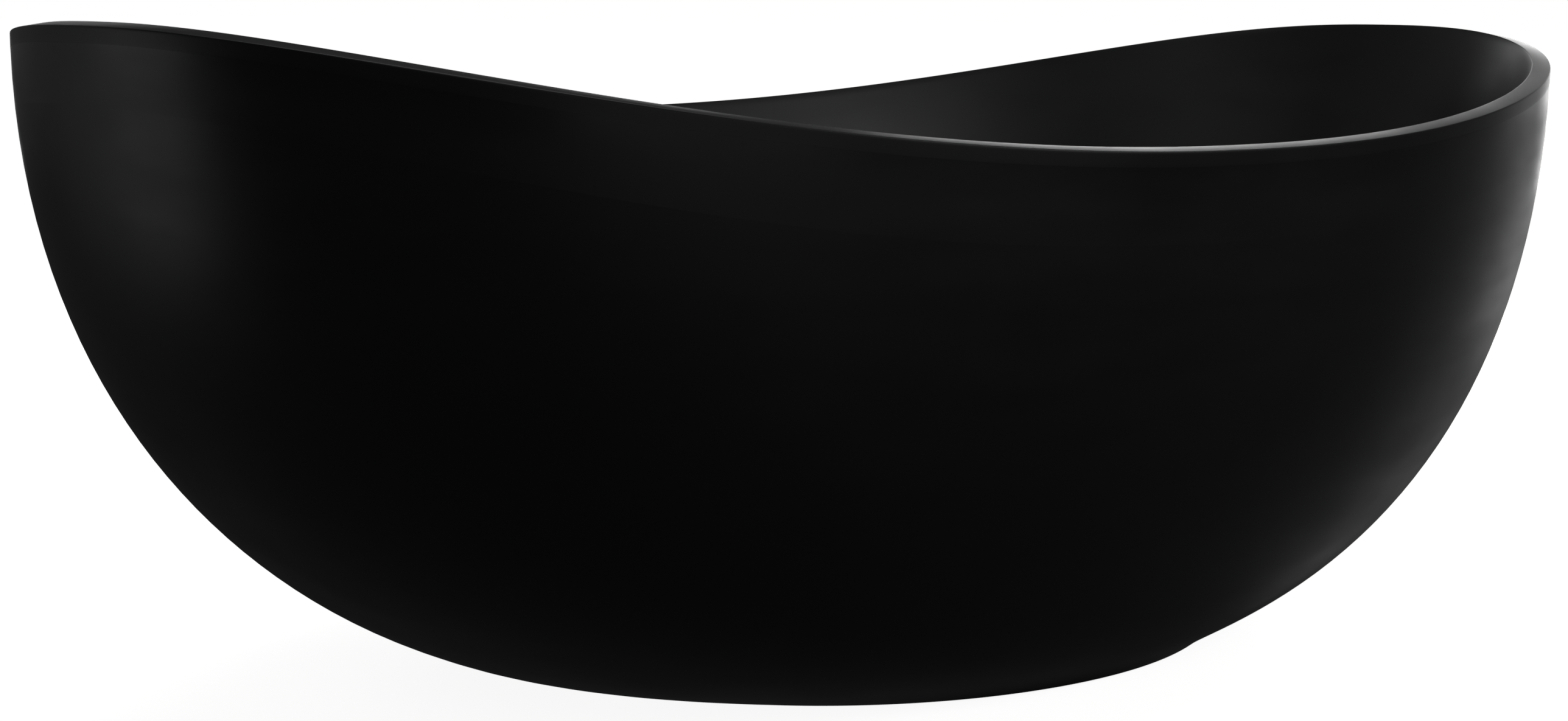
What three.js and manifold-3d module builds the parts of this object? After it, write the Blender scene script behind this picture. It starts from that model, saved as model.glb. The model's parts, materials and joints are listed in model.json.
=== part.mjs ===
// A freestanding oval bathtub: a cast basin with a thin flat rim, a cast skirt bonded under the rim, four
// levelling feet, a press-to-open waste and a slot overflow. Millimetres, +Z up, origin on the floor under
// the tub's middle, X along the tub.
import * as THREE from 'three';
import { ParametricGeometry } from 'three/addons/geometries/ParametricGeometry.js';
import { mergeVertices } from 'three/addons/utils/BufferGeometryUtils.js';
import Module from 'manifold-3d';

// Outside of the tub
const LENGTH = 1800;
const WIDTH = 1000;
const END_HEIGHT = 630;
const MIDDLE_HEIGHT = 526;
const BASE_LENGTH = 804;
const BASE_WIDTH = 678;
const RIM_SQUARENESS = 2.4; // exponent of the rim's oval: 2 is an ellipse
const RIM_SWEEP = 2.1; // how fast the rim rises from the middle to the ends
const SKIRT_END_CURVE = { out: 0.518, rise: 0.055, inset: 0, drop: 0.563 };
const SKIRT_SIDE_CURVE = { out: 0.071, rise: 0.06, inset: 0.018, drop: 0.95 };
const FLOOR_GAP = 3;

// Walls and rim
const RIM_WIDTH = 20;
const RIM_RISE = 3.3; // how much higher the rim's inner edge is than its outer edge
const RIM_LIP = 14;
const BASIN_WALL = 10;
const SKIRT_WALL = 8;
const SKIRT_FOOT_WIDTH = 12;
const SKIRT_FOOT_HEIGHT = 10;

// Basin
const DRAIN_LEVEL = 112;
const FLOOR_FALL = 8;
const DRAIN_FLOOR_THICKNESS = 14;
const FLOOR_LENGTH = 1120;
const FLOOR_WIDTH = 500;
const BASIN_END_CURVE = { out: 0.406, rise: 0, inset: 0.125, drop: 0.298 };
const BASIN_SIDE_CURVE = { out: 0.52, rise: 0, inset: 0.33, drop: 0.5 };
const FLOOR_BLEND = 0.3; // share of the wall over which the floor's thickness runs out
const UNDERSIDE_RING = 0.6; // share of the underside's radius that is flat
const FLOOR_RINGS = [0.2, 0.6]; // shares of the floor's radius at which its facets meet

// Fits shared by several pieces
const GAP = 0.3;
const SEAT_DEPTH = 1; // flat seats cast in the wall for the overflow
const SEAT_MARGIN = 1.5;
const GASKET_THICKNESS = 1.4;

// Rails, feet and their fasteners
const RAIL_SPREAD = 460; // between the two rails' middles
const RAIL_LENGTH = 420;
const RAIL_WIDTH = 40;
const RAIL_HEIGHT = 22;
const RAIL_WALL = 3;
const BOLT_SPREAD = 200; // between the two bolts of a rail
const BOLT_RADIUS = 4;
const BOLT_HEAD_RADIUS = 7;
const BOLT_HEAD_HEIGHT = 5;
const INSERT_RADIUS = 6;
const INSERT_DEPTH = 9;
const BOLT_END_ROOM = 1;
const FOOT_SPREAD = 360; // between the two feet of a rail
const STUD_RADIUS = 6;
const STUD_FLAT_RADIUS = 8;
const STUD_FLAT_HEIGHT = 6;
const STUD_TOP_ROOM = 4;
const RAIL_NUT_RADIUS = 10.4;
const RAIL_NUT_LENGTH = 30;
const LOCK_NUT_HEIGHT = 8;
const PAD_RADIUS = 25;
const PAD_HEIGHT = 14;
const PAD_EDGE = 4;
const PAD_FLOOR = 8;

// Waste
const HOLE_RADIUS = 26;
const FLANGE_RADIUS = 35;
const FLANGE_THICKNESS = 3;
const FLANGE_SEAT_DEPTH = 3;
const FLANGE_DISH = 1.4;
const FLANGE_EDGE = 1; // width of the flange's bevelled edge and of the flat inside it
const SPIGOT_RADIUS = 23.9;
const SPIGOT_WALL = 3.4;
const SPIGOT_LENGTH = 42;
const HUB_RADIUS = 11;
const HUB_HEIGHT = 12;
const HUB_DROP = 21; // from the flange's underside down to the hub
const SPOKES = 3;
const SPOKE_WIDTH = 4;
const SPOKE_HEIGHT = 8;
const SLEEVE_RADIUS = 7;
const SLEEVE_LENGTH = 40;
const SLEEVE_ABOVE = 12; // sleeve above the hub
const SLEEVE_FLOOR = 3;
const STEM_RADIUS = 4;
const STEM_GUIDE = 18; // stem inside the sleeve when the plug is shut
const CAP_RADIUS = 31;
const CAP_THICKNESS = 3;
const CAP_DOME = 2.2;
const CAP_BOSS = 5;
const CAP_BOSS_WALL = 3;
const CAP_EDGE = 1;
const SEAL_OVERHANG = 1.5; // how far the seal stands past the spigot's bore
const SEAL_WIDTH = 4;
const SPRING_WIRE_RADIUS = 0.45;
const SPRING_TURNS = 6;
const LOWER_GASKET_THICKNESS = 5;
const BODY_WALL = 3;
const BODY_FLANGE_RADIUS = 34;
const BODY_FLANGE = 5;
const OUTLET_RADIUS = 23.9;
const OUTLET_LENGTH = 18;
const OUTLET_DROP = 12; // from the hose's level down to the outlet
const TAIL_RADIUS = 20;
const TAIL_WALL = 2.5;
const TAIL_BOTTOM = 8;
const TAIL_ROOM = 4;
const NUT_RADIUS = 31;
const NUT_SIDES = 8;
const NUT_LIP = 3.5;
const WASHER_THICKNESS = 3;

// Overflow
const OVERFLOW_DROP = 85; // below the rim's lowest point
const SLOT_WIDTH = 52;
const SLOT_HEIGHT = 8;
const TRIM_BORDER = 6;
const TRIM_ENDS = 16; // trim beyond each end of the slot, where the screws go
const TRIM_THICKNESS = 3;
const SCREW_RADIUS = 2;
const SCREW_HEAD_RADIUS = 3.6;
const SCREW_BITE = 10;
const SCREW_SOCKET_RADIUS = 1.5;
const BOX_WALL = 2.5;
const BOX_OVERLAP = 3; // how far the overflow box stands past the trim
const BOX_CLEARANCE = 8; // between the overflow box and the skirt
const HOSE_BORE = 8.3;
const HOSE_WALL = 2;
const HOSE_GRIP = 20; // how far the hose is pushed over each spigot
const HOSE_LEVEL = 56;
const HOSE_LEAD = 40;
const HOSE_TURN = 70;
const HOSE_SWING = 100; // from its straight start down to its first middle point in the cavity
const HOSE_GUIDES = 2; // steps between those middle points
const CLIP_THICKNESS = 1;
const CLIP_WIDTH = 9;
const CLIP_EDGE = 0.5; // band left bare on each side of the clip's screw housing
const CLIP_ROOM = 2; // between the upper clip and the basin's back

// Facets
const AROUND = 48;
const WALL_ROWS = 10;
const HIDDEN_ROWS = 8; // down the unseen side of each casting
const ROUND_SIDES = 24;
const SMALL_SIDES = 12;
const HEX_SIDES = 6;
const WIRE_SIDES = 6;
const SMALL_RADIUS = 12; // rods and rings under this radius have the smaller number of sides
const STADIUM_SEGMENTS = 4;
const HOSE_STEPS = 26;
const SPRING_STEPS = 8; // to each turn
const TINY_STEP = 1e-4; // for directions taken from neighbouring points, and for joining equal points
const HALVINGS = 40;

// Shapes for cutting and joining
const OVERCUT = 1; // how far a cutting shape stands past what it cuts
const ROOT = 1; // how far a spoke, spigot or shank runs into the piece that it grows from

const wasm = await Module();
wasm.setup();

// ---- helpers ------------------------------------------------------------------------------------------

function welded(geometry) {
  const plain = geometry.clone();
  plain.deleteAttribute('normal');
  plain.deleteAttribute('uv');
  const merged = mergeVertices(plain, TINY_STEP);
  const index = merged.getIndex().array;
  const kept = [];
  for (let i = 0; i < index.length; i += 3) {
    const [a, b, c] = [index[i], index[i + 1], index[i + 2]];
    if (a !== b && b !== c && c !== a) kept.push(a, b, c);
  }
  merged.setIndex(kept);
  return merged;
}

function toSolid(geometry) {
  const closed = welded(geometry);
  const vertProperties = new Float32Array(closed.getAttribute('position').array);
  const triVerts = new Uint32Array(closed.getIndex().array);
  return new wasm.Manifold(new wasm.Mesh({ numProp: 3, vertProperties, triVerts }));
}

function toGeometry(solid) {
  const mesh = solid.getMesh();
  const geometry = new THREE.BufferGeometry();
  geometry.setAttribute('position', new THREE.BufferAttribute(mesh.vertProperties, 3));
  geometry.setIndex(new THREE.BufferAttribute(mesh.triVerts, 1));
  return geometry;
}

function join(first, ...others) {
  return toGeometry(others.reduce((whole, piece) => whole.add(toSolid(piece)), toSolid(first)));
}

function cut(first, ...others) {
  return toGeometry(others.reduce((whole, piece) => whole.subtract(toSolid(piece)), toSolid(first)));
}

// A solid of revolution about Z. The profile runs anticlockwise in (radius, height).
function turned(profile, sides = ROUND_SIDES) {
  const points = profile.map(([radius, height]) => new THREE.Vector2(radius, height));
  return new THREE.LatheGeometry(points, sides).rotateX(Math.PI / 2);
}

function sidesFor(radius) {
  return radius < SMALL_RADIUS ? SMALL_SIDES : ROUND_SIDES;
}

function rod(radius, low, high, sides = sidesFor(radius)) {
  return turned([[0, low], [radius, low], [radius, high], [0, high]], sides);
}

function ring(inner, outer, low, high) {
  return turned([[inner, low], [outer, low], [outer, high], [inner, high], [inner, low]], sidesFor(outer));
}

function box(width, depth, height, x, y, z) {
  return new THREE.BoxGeometry(width, depth, height).translate(x, y, z);
}

// A stadium outline, long along X.
function stadium(length, height) {
  const radius = height / 2;
  const reach = length / 2 - radius;
  const shape = new THREE.Shape();
  shape.absarc(reach, 0, radius, -Math.PI / 2, Math.PI / 2, false);
  shape.absarc(-reach, 0, radius, Math.PI / 2, 1.5 * Math.PI, false);
  shape.closePath();
  return shape;
}

function plate(shape, low, high) {
  const depth = high - low;
  const settings = { depth, bevelEnabled: false, curveSegments: STADIUM_SEGMENTS };
  return new THREE.ExtrudeGeometry(shape, settings).translate(0, 0, low);
}

function finish(color, roughness, metalness = 0) {
  return new THREE.MeshStandardMaterial({ color, roughness, metalness });
}

const CAST = finish(0x17181a, 0.55);
const CHROME = finish(0xd8dadc, 0.12, 1);
const ZINC = finish(0x9aa0a4, 0.45, 1);
const BRASS = finish(0xb08d4a, 0.4, 1);
const RUBBER = finish(0x202122, 0.85);
const PLASTIC = finish(0x2a2c2e, 0.6);
const PIPE = finish(0xd9dad6, 0.5);

const tub = new THREE.Group();

function add(name, geometry, material, parent = tub) {
  const mesh = new THREE.Mesh(welded(geometry), material);
  mesh.name = name;
  parent.add(mesh);
  return mesh;
}

// ---- the tub's curved surfaces ------------------------------------------------------------------------

function oval(angle, halfLength, halfWidth, squareness) {
  const cos = Math.cos(angle);
  const sin = Math.sin(angle);
  const x = Math.sign(cos) * Math.abs(cos) ** (2 / squareness) * halfLength;
  const y = Math.sign(sin) * Math.abs(sin) ** (2 / squareness) * halfWidth;
  return new THREE.Vector3(x, y, 0);
}

function outerRim(angle) {
  const edge = oval(angle, LENGTH / 2, WIDTH / 2, RIM_SQUARENESS);
  const towardsEnd = Math.abs((2 * edge.x) / LENGTH);
  edge.z = MIDDLE_HEIGHT + (END_HEIGHT - MIDDLE_HEIGHT) * towardsEnd ** RIM_SWEEP;
  return edge;
}

function innerRim(angle) {
  const along = outerRim(angle + TINY_STEP).sub(outerRim(angle - TINY_STEP));
  const inward = new THREE.Vector3(-along.y, along.x, 0).normalize();
  return outerRim(angle).addScaledVector(inward, RIM_WIDTH).add(new THREE.Vector3(0, 0, RIM_RISE));
}

function skirtFoot(angle) {
  return oval(angle, BASE_LENGTH / 2, BASE_WIDTH / 2, 2).setZ(FLOOR_GAP);
}

function floorEdge(angle) {
  return oval(angle, FLOOR_LENGTH / 2, FLOOR_WIDTH / 2, 2).setZ(DRAIN_LEVEL + FLOOR_FALL);
}

const SKIRT = { low: skirtFoot, high: outerRim, end: SKIRT_END_CURVE, side: SKIRT_SIDE_CURVE };
const BASIN = { low: floorEdge, high: innerRim, end: BASIN_END_CURVE, side: BASIN_SIDE_CURVE };

// The point of a wall at a share t of the way from its lower edge to its upper edge: a cubic curve whose
// shape turns from the end's to the side's around the tub.
function wallPoint(wall, t, angle) {
  const ends = Math.cos(angle) ** 2;
  const blend = (key) => wall.end[key] * ends + wall.side[key] * (1 - ends);
  const early = 3 * t * (1 - t) ** 2;
  const late = 3 * t * t * (1 - t);
  const reach = early * blend('out') + late * (1 - blend('inset')) + t ** 3;
  const lift = early * blend('rise') + late * (1 - blend('drop')) + t ** 3;
  const low = wall.low(angle);
  const high = wall.high(angle);
  const point = low.clone().lerp(high, reach);
  return point.setZ(low.z + (high.z - low.z) * lift);
}

// The same point moved square to the wall: out of the tub where distance is positive.
function offsetPoint(wall, t, angle, distance) {
  const lower = Math.max(t - TINY_STEP, 0);
  const upper = Math.min(t + TINY_STEP, 1);
  const around = wallPoint(wall, t, angle + TINY_STEP).sub(wallPoint(wall, t, angle - TINY_STEP));
  const upward = wallPoint(wall, upper, angle).sub(wallPoint(wall, lower, angle));
  const outward = around.cross(upward).normalize();
  return wallPoint(wall, t, angle).addScaledVector(outward, distance);
}

// The share t at which a rising function of t reaches a height.
function shareAt(heightOf, height) {
  let [low, high] = [0, 1];
  for (let i = 0; i < HALVINGS; i += 1) {
    const middle = (low + high) / 2;
    if (heightOf(middle) < height) low = middle;
    else high = middle;
  }
  return (low + high) / 2;
}

function steps(count, from, to) {
  return Array.from({ length: count + 1 }, (_, i) => from + ((to - from) * i) / count);
}

// A closed body swept round the tub through the points that a section gives at each angle.
function sweptRound(section) {
  const columns = Array.from({ length: AROUND }, (_, i) => section((2 * Math.PI * i) / AROUND));
  const rows = columns[0].length - 1;
  const point = (u, v, target) => {
    const column = columns[Math.round(v * AROUND) % AROUND];
    return target.copy(column[Math.round(u * rows)]);
  };
  return new ParametricGeometry(point, rows, AROUND);
}

function basinThickness(t) {
  const floor = DRAIN_FLOOR_THICKNESS + FLOOR_FALL;
  const left = Math.max(0, 1 - t / FLOOR_BLEND);
  return BASIN_WALL + (floor - BASIN_WALL) * left * left;
}

function lipLevel(angle) {
  return outerRim(angle).z - RIM_LIP;
}

function basinBackShare(angle) {
  return shareAt((t) => offsetPoint(BASIN, t, angle, BASIN_WALL).z, lipLevel(angle));
}

function basinSection(angle) {
  const edge = floorEdge(angle);
  const middle = new THREE.Vector3(0, 0, DRAIN_LEVEL);
  const flat = new THREE.Vector3(0, 0, DRAIN_LEVEL - DRAIN_FLOOR_THICKNESS);
  const lip = shareAt((t) => wallPoint(SKIRT, t, angle).z, lipLevel(angle));
  const under = offsetPoint(BASIN, 0, angle, basinThickness(0));
  const points = [middle, ...FLOOR_RINGS.map((share) => middle.clone().lerp(edge, share))];
  steps(WALL_ROWS, 0, 1).forEach((t) => points.push(wallPoint(BASIN, t, angle)));
  points.push(outerRim(angle), wallPoint(SKIRT, lip, angle));
  steps(HIDDEN_ROWS, basinBackShare(angle), 0).forEach((t) => {
    points.push(offsetPoint(BASIN, t, angle, basinThickness(t)));
  });
  points.push(under.multiplyScalar(UNDERSIDE_RING).setZ(flat.z), flat);
  return points;
}

function skirtSection(angle) {
  const top = lipLevel(angle) - GAP;
  const highest = shareAt((t) => wallPoint(SKIRT, t, angle).z, top);
  const inside = (t) => offsetPoint(SKIRT, t, angle, -SKIRT_WALL);
  const insideHigh = shareAt((t) => inside(t).z, top);
  const insideLow = shareAt((t) => inside(t).z, FLOOR_GAP + SKIRT_FOOT_HEIGHT);
  const foot = skirtFoot(angle);
  const inward = foot.clone().setZ(0).normalize();
  const toe = foot.clone().addScaledVector(inward, -SKIRT_FOOT_WIDTH);
  const points = [foot, toe, toe.clone().setZ(FLOOR_GAP + SKIRT_FOOT_HEIGHT)];
  steps(HIDDEN_ROWS, insideLow, insideHigh).forEach((t) => points.push(inside(t)));
  steps(WALL_ROWS, highest, 0).forEach((t) => points.push(wallPoint(SKIRT, t, angle)));
  return points;
}

// ---- the two castings ---------------------------------------------------------------------------------

const underside = DRAIN_LEVEL - DRAIN_FLOOR_THICKNESS;
const flangeSeat = DRAIN_LEVEL - FLANGE_SEAT_DEPTH;
const BACK = Math.PI / 2;

// The overflow's frame: Z into the tub square to the wall, Y up the wall.
const slotShare = shareAt((t) => wallPoint(BASIN, t, BACK).z, MIDDLE_HEIGHT - OVERFLOW_DROP);
const slotPoint = wallPoint(BASIN, slotShare, BACK);
const intoTub = offsetPoint(BASIN, slotShare, BACK, -1).sub(slotPoint).normalize();
const acrossTub = new THREE.Vector3(1, 0, 0);
const upWall = new THREE.Vector3().crossVectors(intoTub, acrossTub).normalize();
const overflowFrame = new THREE.Matrix4().makeBasis(acrossTub, upWall, intoTub).setPosition(slotPoint);

const screwReach = SLOT_WIDTH / 2 + TRIM_ENDS / 2;
const trimWidth = SLOT_WIDTH + 2 * TRIM_ENDS;
const trimHeight = SLOT_HEIGHT + 2 * TRIM_BORDER;
const boxHeight = trimHeight + 2 * BOX_OVERLAP;
const boxWidth = trimWidth + 2 * BOX_OVERLAP;

function atScrews(shape) {
  return [-screwReach, screwReach].map((x) => shape().translate(x, 0, 0));
}

function bySide(spread, visit) {
  [-1, 1].forEach((side) => visit((side * spread) / 2, side));
}

function forEachBolt(visit) {
  let number = 0;
  bySide(RAIL_SPREAD, (x) => {
    bySide(BOLT_SPREAD, (y) => {
      number += 1;
      visit(x, y, number);
    });
  });
}

function makeBasin() {
  const away = BASIN_WALL + 2 * SEAT_DEPTH;
  const openings = [
    rod(HOLE_RADIUS, underside - OVERCUT, DRAIN_LEVEL + OVERCUT),
    rod(FLANGE_RADIUS + SEAT_MARGIN, flangeSeat, DRAIN_LEVEL + FLOOR_FALL),
  ];
  forEachBolt((x, y) => {
    const hole = rod(INSERT_RADIUS + GAP, underside - OVERCUT, underside + INSERT_DEPTH + GAP);
    openings.push(hole.translate(x, y, 0));
  });
  const inFrame = [
    plate(stadium(trimWidth + 2 * SEAT_MARGIN, trimHeight + 2 * SEAT_MARGIN), -SEAT_DEPTH, away),
    plate(stadium(boxWidth + 2 * SEAT_MARGIN, boxHeight + 2 * SEAT_MARGIN), -away, SEAT_DEPTH - BASIN_WALL),
    plate(stadium(SLOT_WIDTH + 2 * SEAT_MARGIN, SLOT_HEIGHT + 2 * SEAT_MARGIN), -away, away),
    ...atScrews(() => rod(SCREW_RADIUS + 2 * GAP, -away, away)),
  ];
  inFrame.forEach((shape) => openings.push(shape.applyMatrix4(overflowFrame)));
  return cut(sweptRound(basinSection), ...openings);
}

add('basin_shell', makeBasin(), CAST);
add('outer_skirt_shell', sweptRound(skirtSection), CAST);

// ---- rails and feet -----------------------------------------------------------------------------------

const railTop = underside - GAP;
const webBottom = railTop - RAIL_WALL;
const nutTop = webBottom - GAP;
const nutBottom = nutTop - RAIL_NUT_LENGTH;
const lockTop = nutBottom - GAP;
const studTop = webBottom - STUD_TOP_ROOM;

function makeRail() {
  const blank = box(RAIL_WIDTH, RAIL_LENGTH, RAIL_HEIGHT, 0, 0, railTop - RAIL_HEIGHT / 2);
  const roomWidth = RAIL_WIDTH - 2 * RAIL_WALL;
  const roomLength = RAIL_LENGTH + 2 * OVERCUT;
  const room = box(roomWidth, roomLength, RAIL_HEIGHT, 0, 0, webBottom - RAIL_HEIGHT / 2);
  const holes = [];
  bySide(BOLT_SPREAD, (y) => {
    holes.push(rod(BOLT_RADIUS + GAP, webBottom - OVERCUT, railTop + OVERCUT).translate(0, y, 0));
  });
  return cut(blank, room, ...holes);
}

function hexNut(radius, bore, low, high) {
  return cut(rod(radius, low, high, HEX_SIDES), rod(bore, low - OVERCUT, high + OVERCUT));
}

function makeBolt() {
  const tip = underside + INSERT_DEPTH - BOLT_END_ROOM;
  const head = rod(BOLT_HEAD_RADIUS, nutTop - BOLT_HEAD_HEIGHT, nutTop, HEX_SIDES);
  return join(head, rod(BOLT_RADIUS, nutTop - ROOT, tip));
}

function makeInsert() {
  return ring(BOLT_RADIUS + GAP, INSERT_RADIUS, underside, underside + INSERT_DEPTH);
}

function makePad() {
  const neck = STUD_RADIUS + PAD_EDGE;
  return turned([
    [0, 0], [PAD_RADIUS, 0], [PAD_RADIUS, PAD_EDGE], [neck, PAD_HEIGHT],
    [STUD_RADIUS + GAP, PAD_HEIGHT], [STUD_RADIUS + GAP, PAD_FLOOR], [0, PAD_FLOOR],
  ]);
}

function makeStud() {
  const low = PAD_FLOOR + GAP;
  const flatsLow = PAD_HEIGHT + GAP;
  const flats = rod(STUD_FLAT_RADIUS, flatsLow, flatsLow + STUD_FLAT_HEIGHT, HEX_SIDES);
  return join(rod(STUD_RADIUS, low, studTop), flats);
}

bySide(RAIL_SPREAD, (x, side) => {
  add(side < 0 ? 'support_rail_left' : 'support_rail_right', makeRail().translate(x, 0, 0), ZINC);
});

forEachBolt((x, y, number) => {
  add(`rail_insert_${number}`, makeInsert(), BRASS).position.set(x, y, 0);
  add(`rail_bolt_${number}`, makeBolt(), ZINC).position.set(x, y, 0);
});

function addFoot(x, y, number) {
  const foot = new THREE.Group();
  foot.position.set(x, y, 0);
  tub.add(foot);
  add(`rail_nut_${number}`, hexNut(RAIL_NUT_RADIUS, STUD_RADIUS + GAP, nutBottom, nutTop), ZINC, foot);
  const lockNut = hexNut(RAIL_NUT_RADIUS, STUD_RADIUS + GAP, lockTop - LOCK_NUT_HEIGHT, lockTop);
  add(`foot_lock_nut_${number}`, lockNut, ZINC, foot);
  add(`foot_stud_${number}`, makeStud(), ZINC, foot);
  add(`foot_pad_${number}`, makePad(), PLASTIC, foot);
}

let footNumber = 0;
bySide(RAIL_SPREAD, (x) => {
  bySide(FOOT_SPREAD, (y) => {
    footNumber += 1;
    addFoot(x, y, footNumber);
  });
});

// ---- waste --------------------------------------------------------------------------------------------

const waste = new THREE.Group();
tub.add(waste);

const upperGasketTop = flangeSeat + GAP + GASKET_THICKNESS;
const flangeBottom = upperGasketTop + GAP;
const flangeTop = flangeBottom + FLANGE_THICKNESS;
const spigotBottom = flangeBottom - SPIGOT_LENGTH;
const spigotBore = SPIGOT_RADIUS - SPIGOT_WALL;
const coneTop = flangeTop - FLANGE_DISH;
const coneDepth = SPIGOT_RADIUS - spigotBore;
const hubTop = flangeBottom - HUB_DROP;
const sleeveTop = hubTop + SLEEVE_ABOVE;
const sleeveBottom = sleeveTop - SLEEVE_LENGTH;
const sleeveBore = STEM_RADIUS + GAP;
const capBottom = flangeTop + GAP;
const capBossBottom = capBottom - CAP_BOSS;
const stemBottom = sleeveTop - STEM_GUIDE;
const gasketTop = underside - GAP;
const bodyTop = gasketTop - LOWER_GASKET_THICKNESS - GAP;
const cupRadius = SPIGOT_RADIUS + GAP + BODY_WALL;
const outletTop = HOSE_LEVEL - OUTLET_DROP;
const outletBottom = outletTop - OUTLET_LENGTH;
const hoseSpigot = HOSE_BORE - 2 * GAP;
const hoseOuter = HOSE_BORE + HOSE_WALL;
const spigotEnd = cupRadius + HOSE_GRIP + BODY_WALL;

function makeFlange() {
  const dish = turned([
    [spigotBore, spigotBottom], [SPIGOT_RADIUS, spigotBottom], [SPIGOT_RADIUS, flangeBottom],
    [FLANGE_RADIUS, flangeBottom], [FLANGE_RADIUS, coneTop], [FLANGE_RADIUS - FLANGE_EDGE, flangeTop],
    [FLANGE_RADIUS - 2 * FLANGE_EDGE, flangeTop], [SPIGOT_RADIUS, coneTop],
    [spigotBore, coneTop - coneDepth], [spigotBore, spigotBottom],
  ]);
  const hub = ring(SLEEVE_RADIUS + GAP, HUB_RADIUS, hubTop - HUB_HEIGHT, hubTop);
  const reach = spigotBore + ROOT - (HUB_RADIUS - ROOT);
  const spokes = Array.from({ length: SPOKES }, (_, i) => {
    const middle = HUB_RADIUS - ROOT + reach / 2;
    const spoke = box(reach, SPOKE_WIDTH, SPOKE_HEIGHT, middle, 0, hubTop - HUB_HEIGHT / 2);
    return spoke.rotateZ((2 * Math.PI * (i + 0.5)) / SPOKES);
  });
  return join(dish, hub, ...spokes);
}

function makeSleeve() {
  return turned([
    [0, sleeveBottom], [SLEEVE_RADIUS, sleeveBottom], [SLEEVE_RADIUS, sleeveTop], [sleeveBore, sleeveTop],
    [sleeveBore, sleeveBottom + SLEEVE_FLOOR], [0, sleeveBottom + SLEEVE_FLOOR],
  ], SMALL_SIDES);
}

class Helix extends THREE.Curve {
  constructor(radius, low, high, turns) {
    super();
    Object.assign(this, { radius, low, high, turns });
  }

  getPoint(t, target = new THREE.Vector3()) {
    const angle = 2 * Math.PI * this.turns * t;
    const height = this.low + (this.high - this.low) * t;
    return target.set(this.radius * Math.cos(angle), this.radius * Math.sin(angle), height);
  }
}

function makeSpring() {
  const low = sleeveBottom + SLEEVE_FLOOR + GAP + SPRING_WIRE_RADIUS;
  const high = stemBottom - GAP - SPRING_WIRE_RADIUS;
  const radius = sleeveBore - 2 * SPRING_WIRE_RADIUS;
  const wire = new THREE.Shape().absarc(0, 0, SPRING_WIRE_RADIUS, 0, 2 * Math.PI, false);
  const extrudePath = new Helix(radius, low, high, SPRING_TURNS);
  const count = SPRING_STEPS * SPRING_TURNS;
  return new THREE.ExtrudeGeometry(wire, { steps: count, curveSegments: WIRE_SIDES / 2, extrudePath });
}

function makeCap() {
  const edge = CAP_RADIUS - CAP_EDGE;
  const crown = capBottom + CAP_THICKNESS + CAP_DOME;
  const dome = steps(4, 1, 0).map((share) => [edge * share, crown - CAP_DOME * share * share]);
  const boss = STEM_RADIUS + GAP + CAP_BOSS_WALL;
  return turned([
    [0, capBottom - GAP], [STEM_RADIUS + GAP, capBottom - GAP], [STEM_RADIUS + GAP, capBossBottom],
    [boss, capBossBottom], [boss, capBottom], [edge, capBottom], [CAP_RADIUS, capBottom + CAP_EDGE],
    [CAP_RADIUS, capBottom + CAP_THICKNESS - CAP_EDGE], ...dome,
  ]);
}

// The seal hangs under the cap and stops just short of the flange's cone.
function makeSeal() {
  const outer = spigotBore + SEAL_OVERHANG;
  const low = coneTop - coneDepth + SEAL_OVERHANG + 2 * GAP;
  return ring(outer - SEAL_WIDTH, outer, low, capBottom - GAP);
}

function makeDrainBody() {
  const bore = SPIGOT_RADIUS + GAP;
  const outletBore = TAIL_RADIUS + GAP;
  const cup = turned([
    [outletBore, outletBottom], [OUTLET_RADIUS, outletBottom], [OUTLET_RADIUS, outletTop],
    [cupRadius, outletTop], [cupRadius, bodyTop - BODY_FLANGE], [BODY_FLANGE_RADIUS, bodyTop - BODY_FLANGE],
    [BODY_FLANGE_RADIUS, bodyTop], [bore, bodyTop], [bore, outletTop + BODY_WALL],
    [outletBore, outletTop], [outletBore, outletBottom],
  ]);
  const sideways = (shape) => shape.rotateX(-Math.PI / 2).translate(0, 0, HOSE_LEVEL);
  const withSpigot = join(cup, sideways(rod(hoseSpigot, bore + ROOT, spigotEnd)));
  return cut(withSpigot, sideways(rod(hoseSpigot - HOSE_WALL, 0, spigotEnd + OVERCUT)));
}

function makeOutletNut() {
  const low = outletBottom - NUT_LIP - GAP - WASHER_THICKNESS - GAP;
  const high = outletTop - NUT_LIP;
  const blank = rod(NUT_RADIUS, low, high, NUT_SIDES);
  const pipeHole = rod(TAIL_RADIUS + GAP, low - OVERCUT, high);
  const neckHole = rod(OUTLET_RADIUS + GAP, low + NUT_LIP, high + OVERCUT);
  return cut(blank, pipeHole, neckHole);
}

add('drain_flange', makeFlange(), CHROME, waste);
const upperGasket = ring(HOLE_RADIUS, FLANGE_RADIUS, flangeSeat + GAP, upperGasketTop);
add('drain_upper_gasket', upperGasket, RUBBER, waste);
const gasketLow = gasketTop - LOWER_GASKET_THICKNESS;
const lowerGasket = ring(SPIGOT_RADIUS + GAP, BODY_FLANGE_RADIUS, gasketLow, gasketTop);
add('drain_lower_gasket', lowerGasket, RUBBER, waste);
add('drain_body', makeDrainBody(), PIPE, waste);
add('latch_sleeve', makeSleeve(), BRASS, waste);
add('latch_spring', makeSpring(), ZINC, waste);
add('plug_stem', rod(STEM_RADIUS, stemBottom, capBottom - 2 * GAP), BRASS, waste);
add('plug_cap', makeCap(), CHROME, waste);
add('plug_seal', makeSeal(), RUBBER, waste);
add('outlet_nut', makeOutletNut(), PIPE, waste);
const washerTop = outletBottom - GAP;
const washer = ring(TAIL_RADIUS + GAP, OUTLET_RADIUS - GAP, washerTop - WASHER_THICKNESS, washerTop);
add('outlet_washer', washer, RUBBER, waste);
const tailTop = outletTop - TAIL_ROOM;
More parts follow.
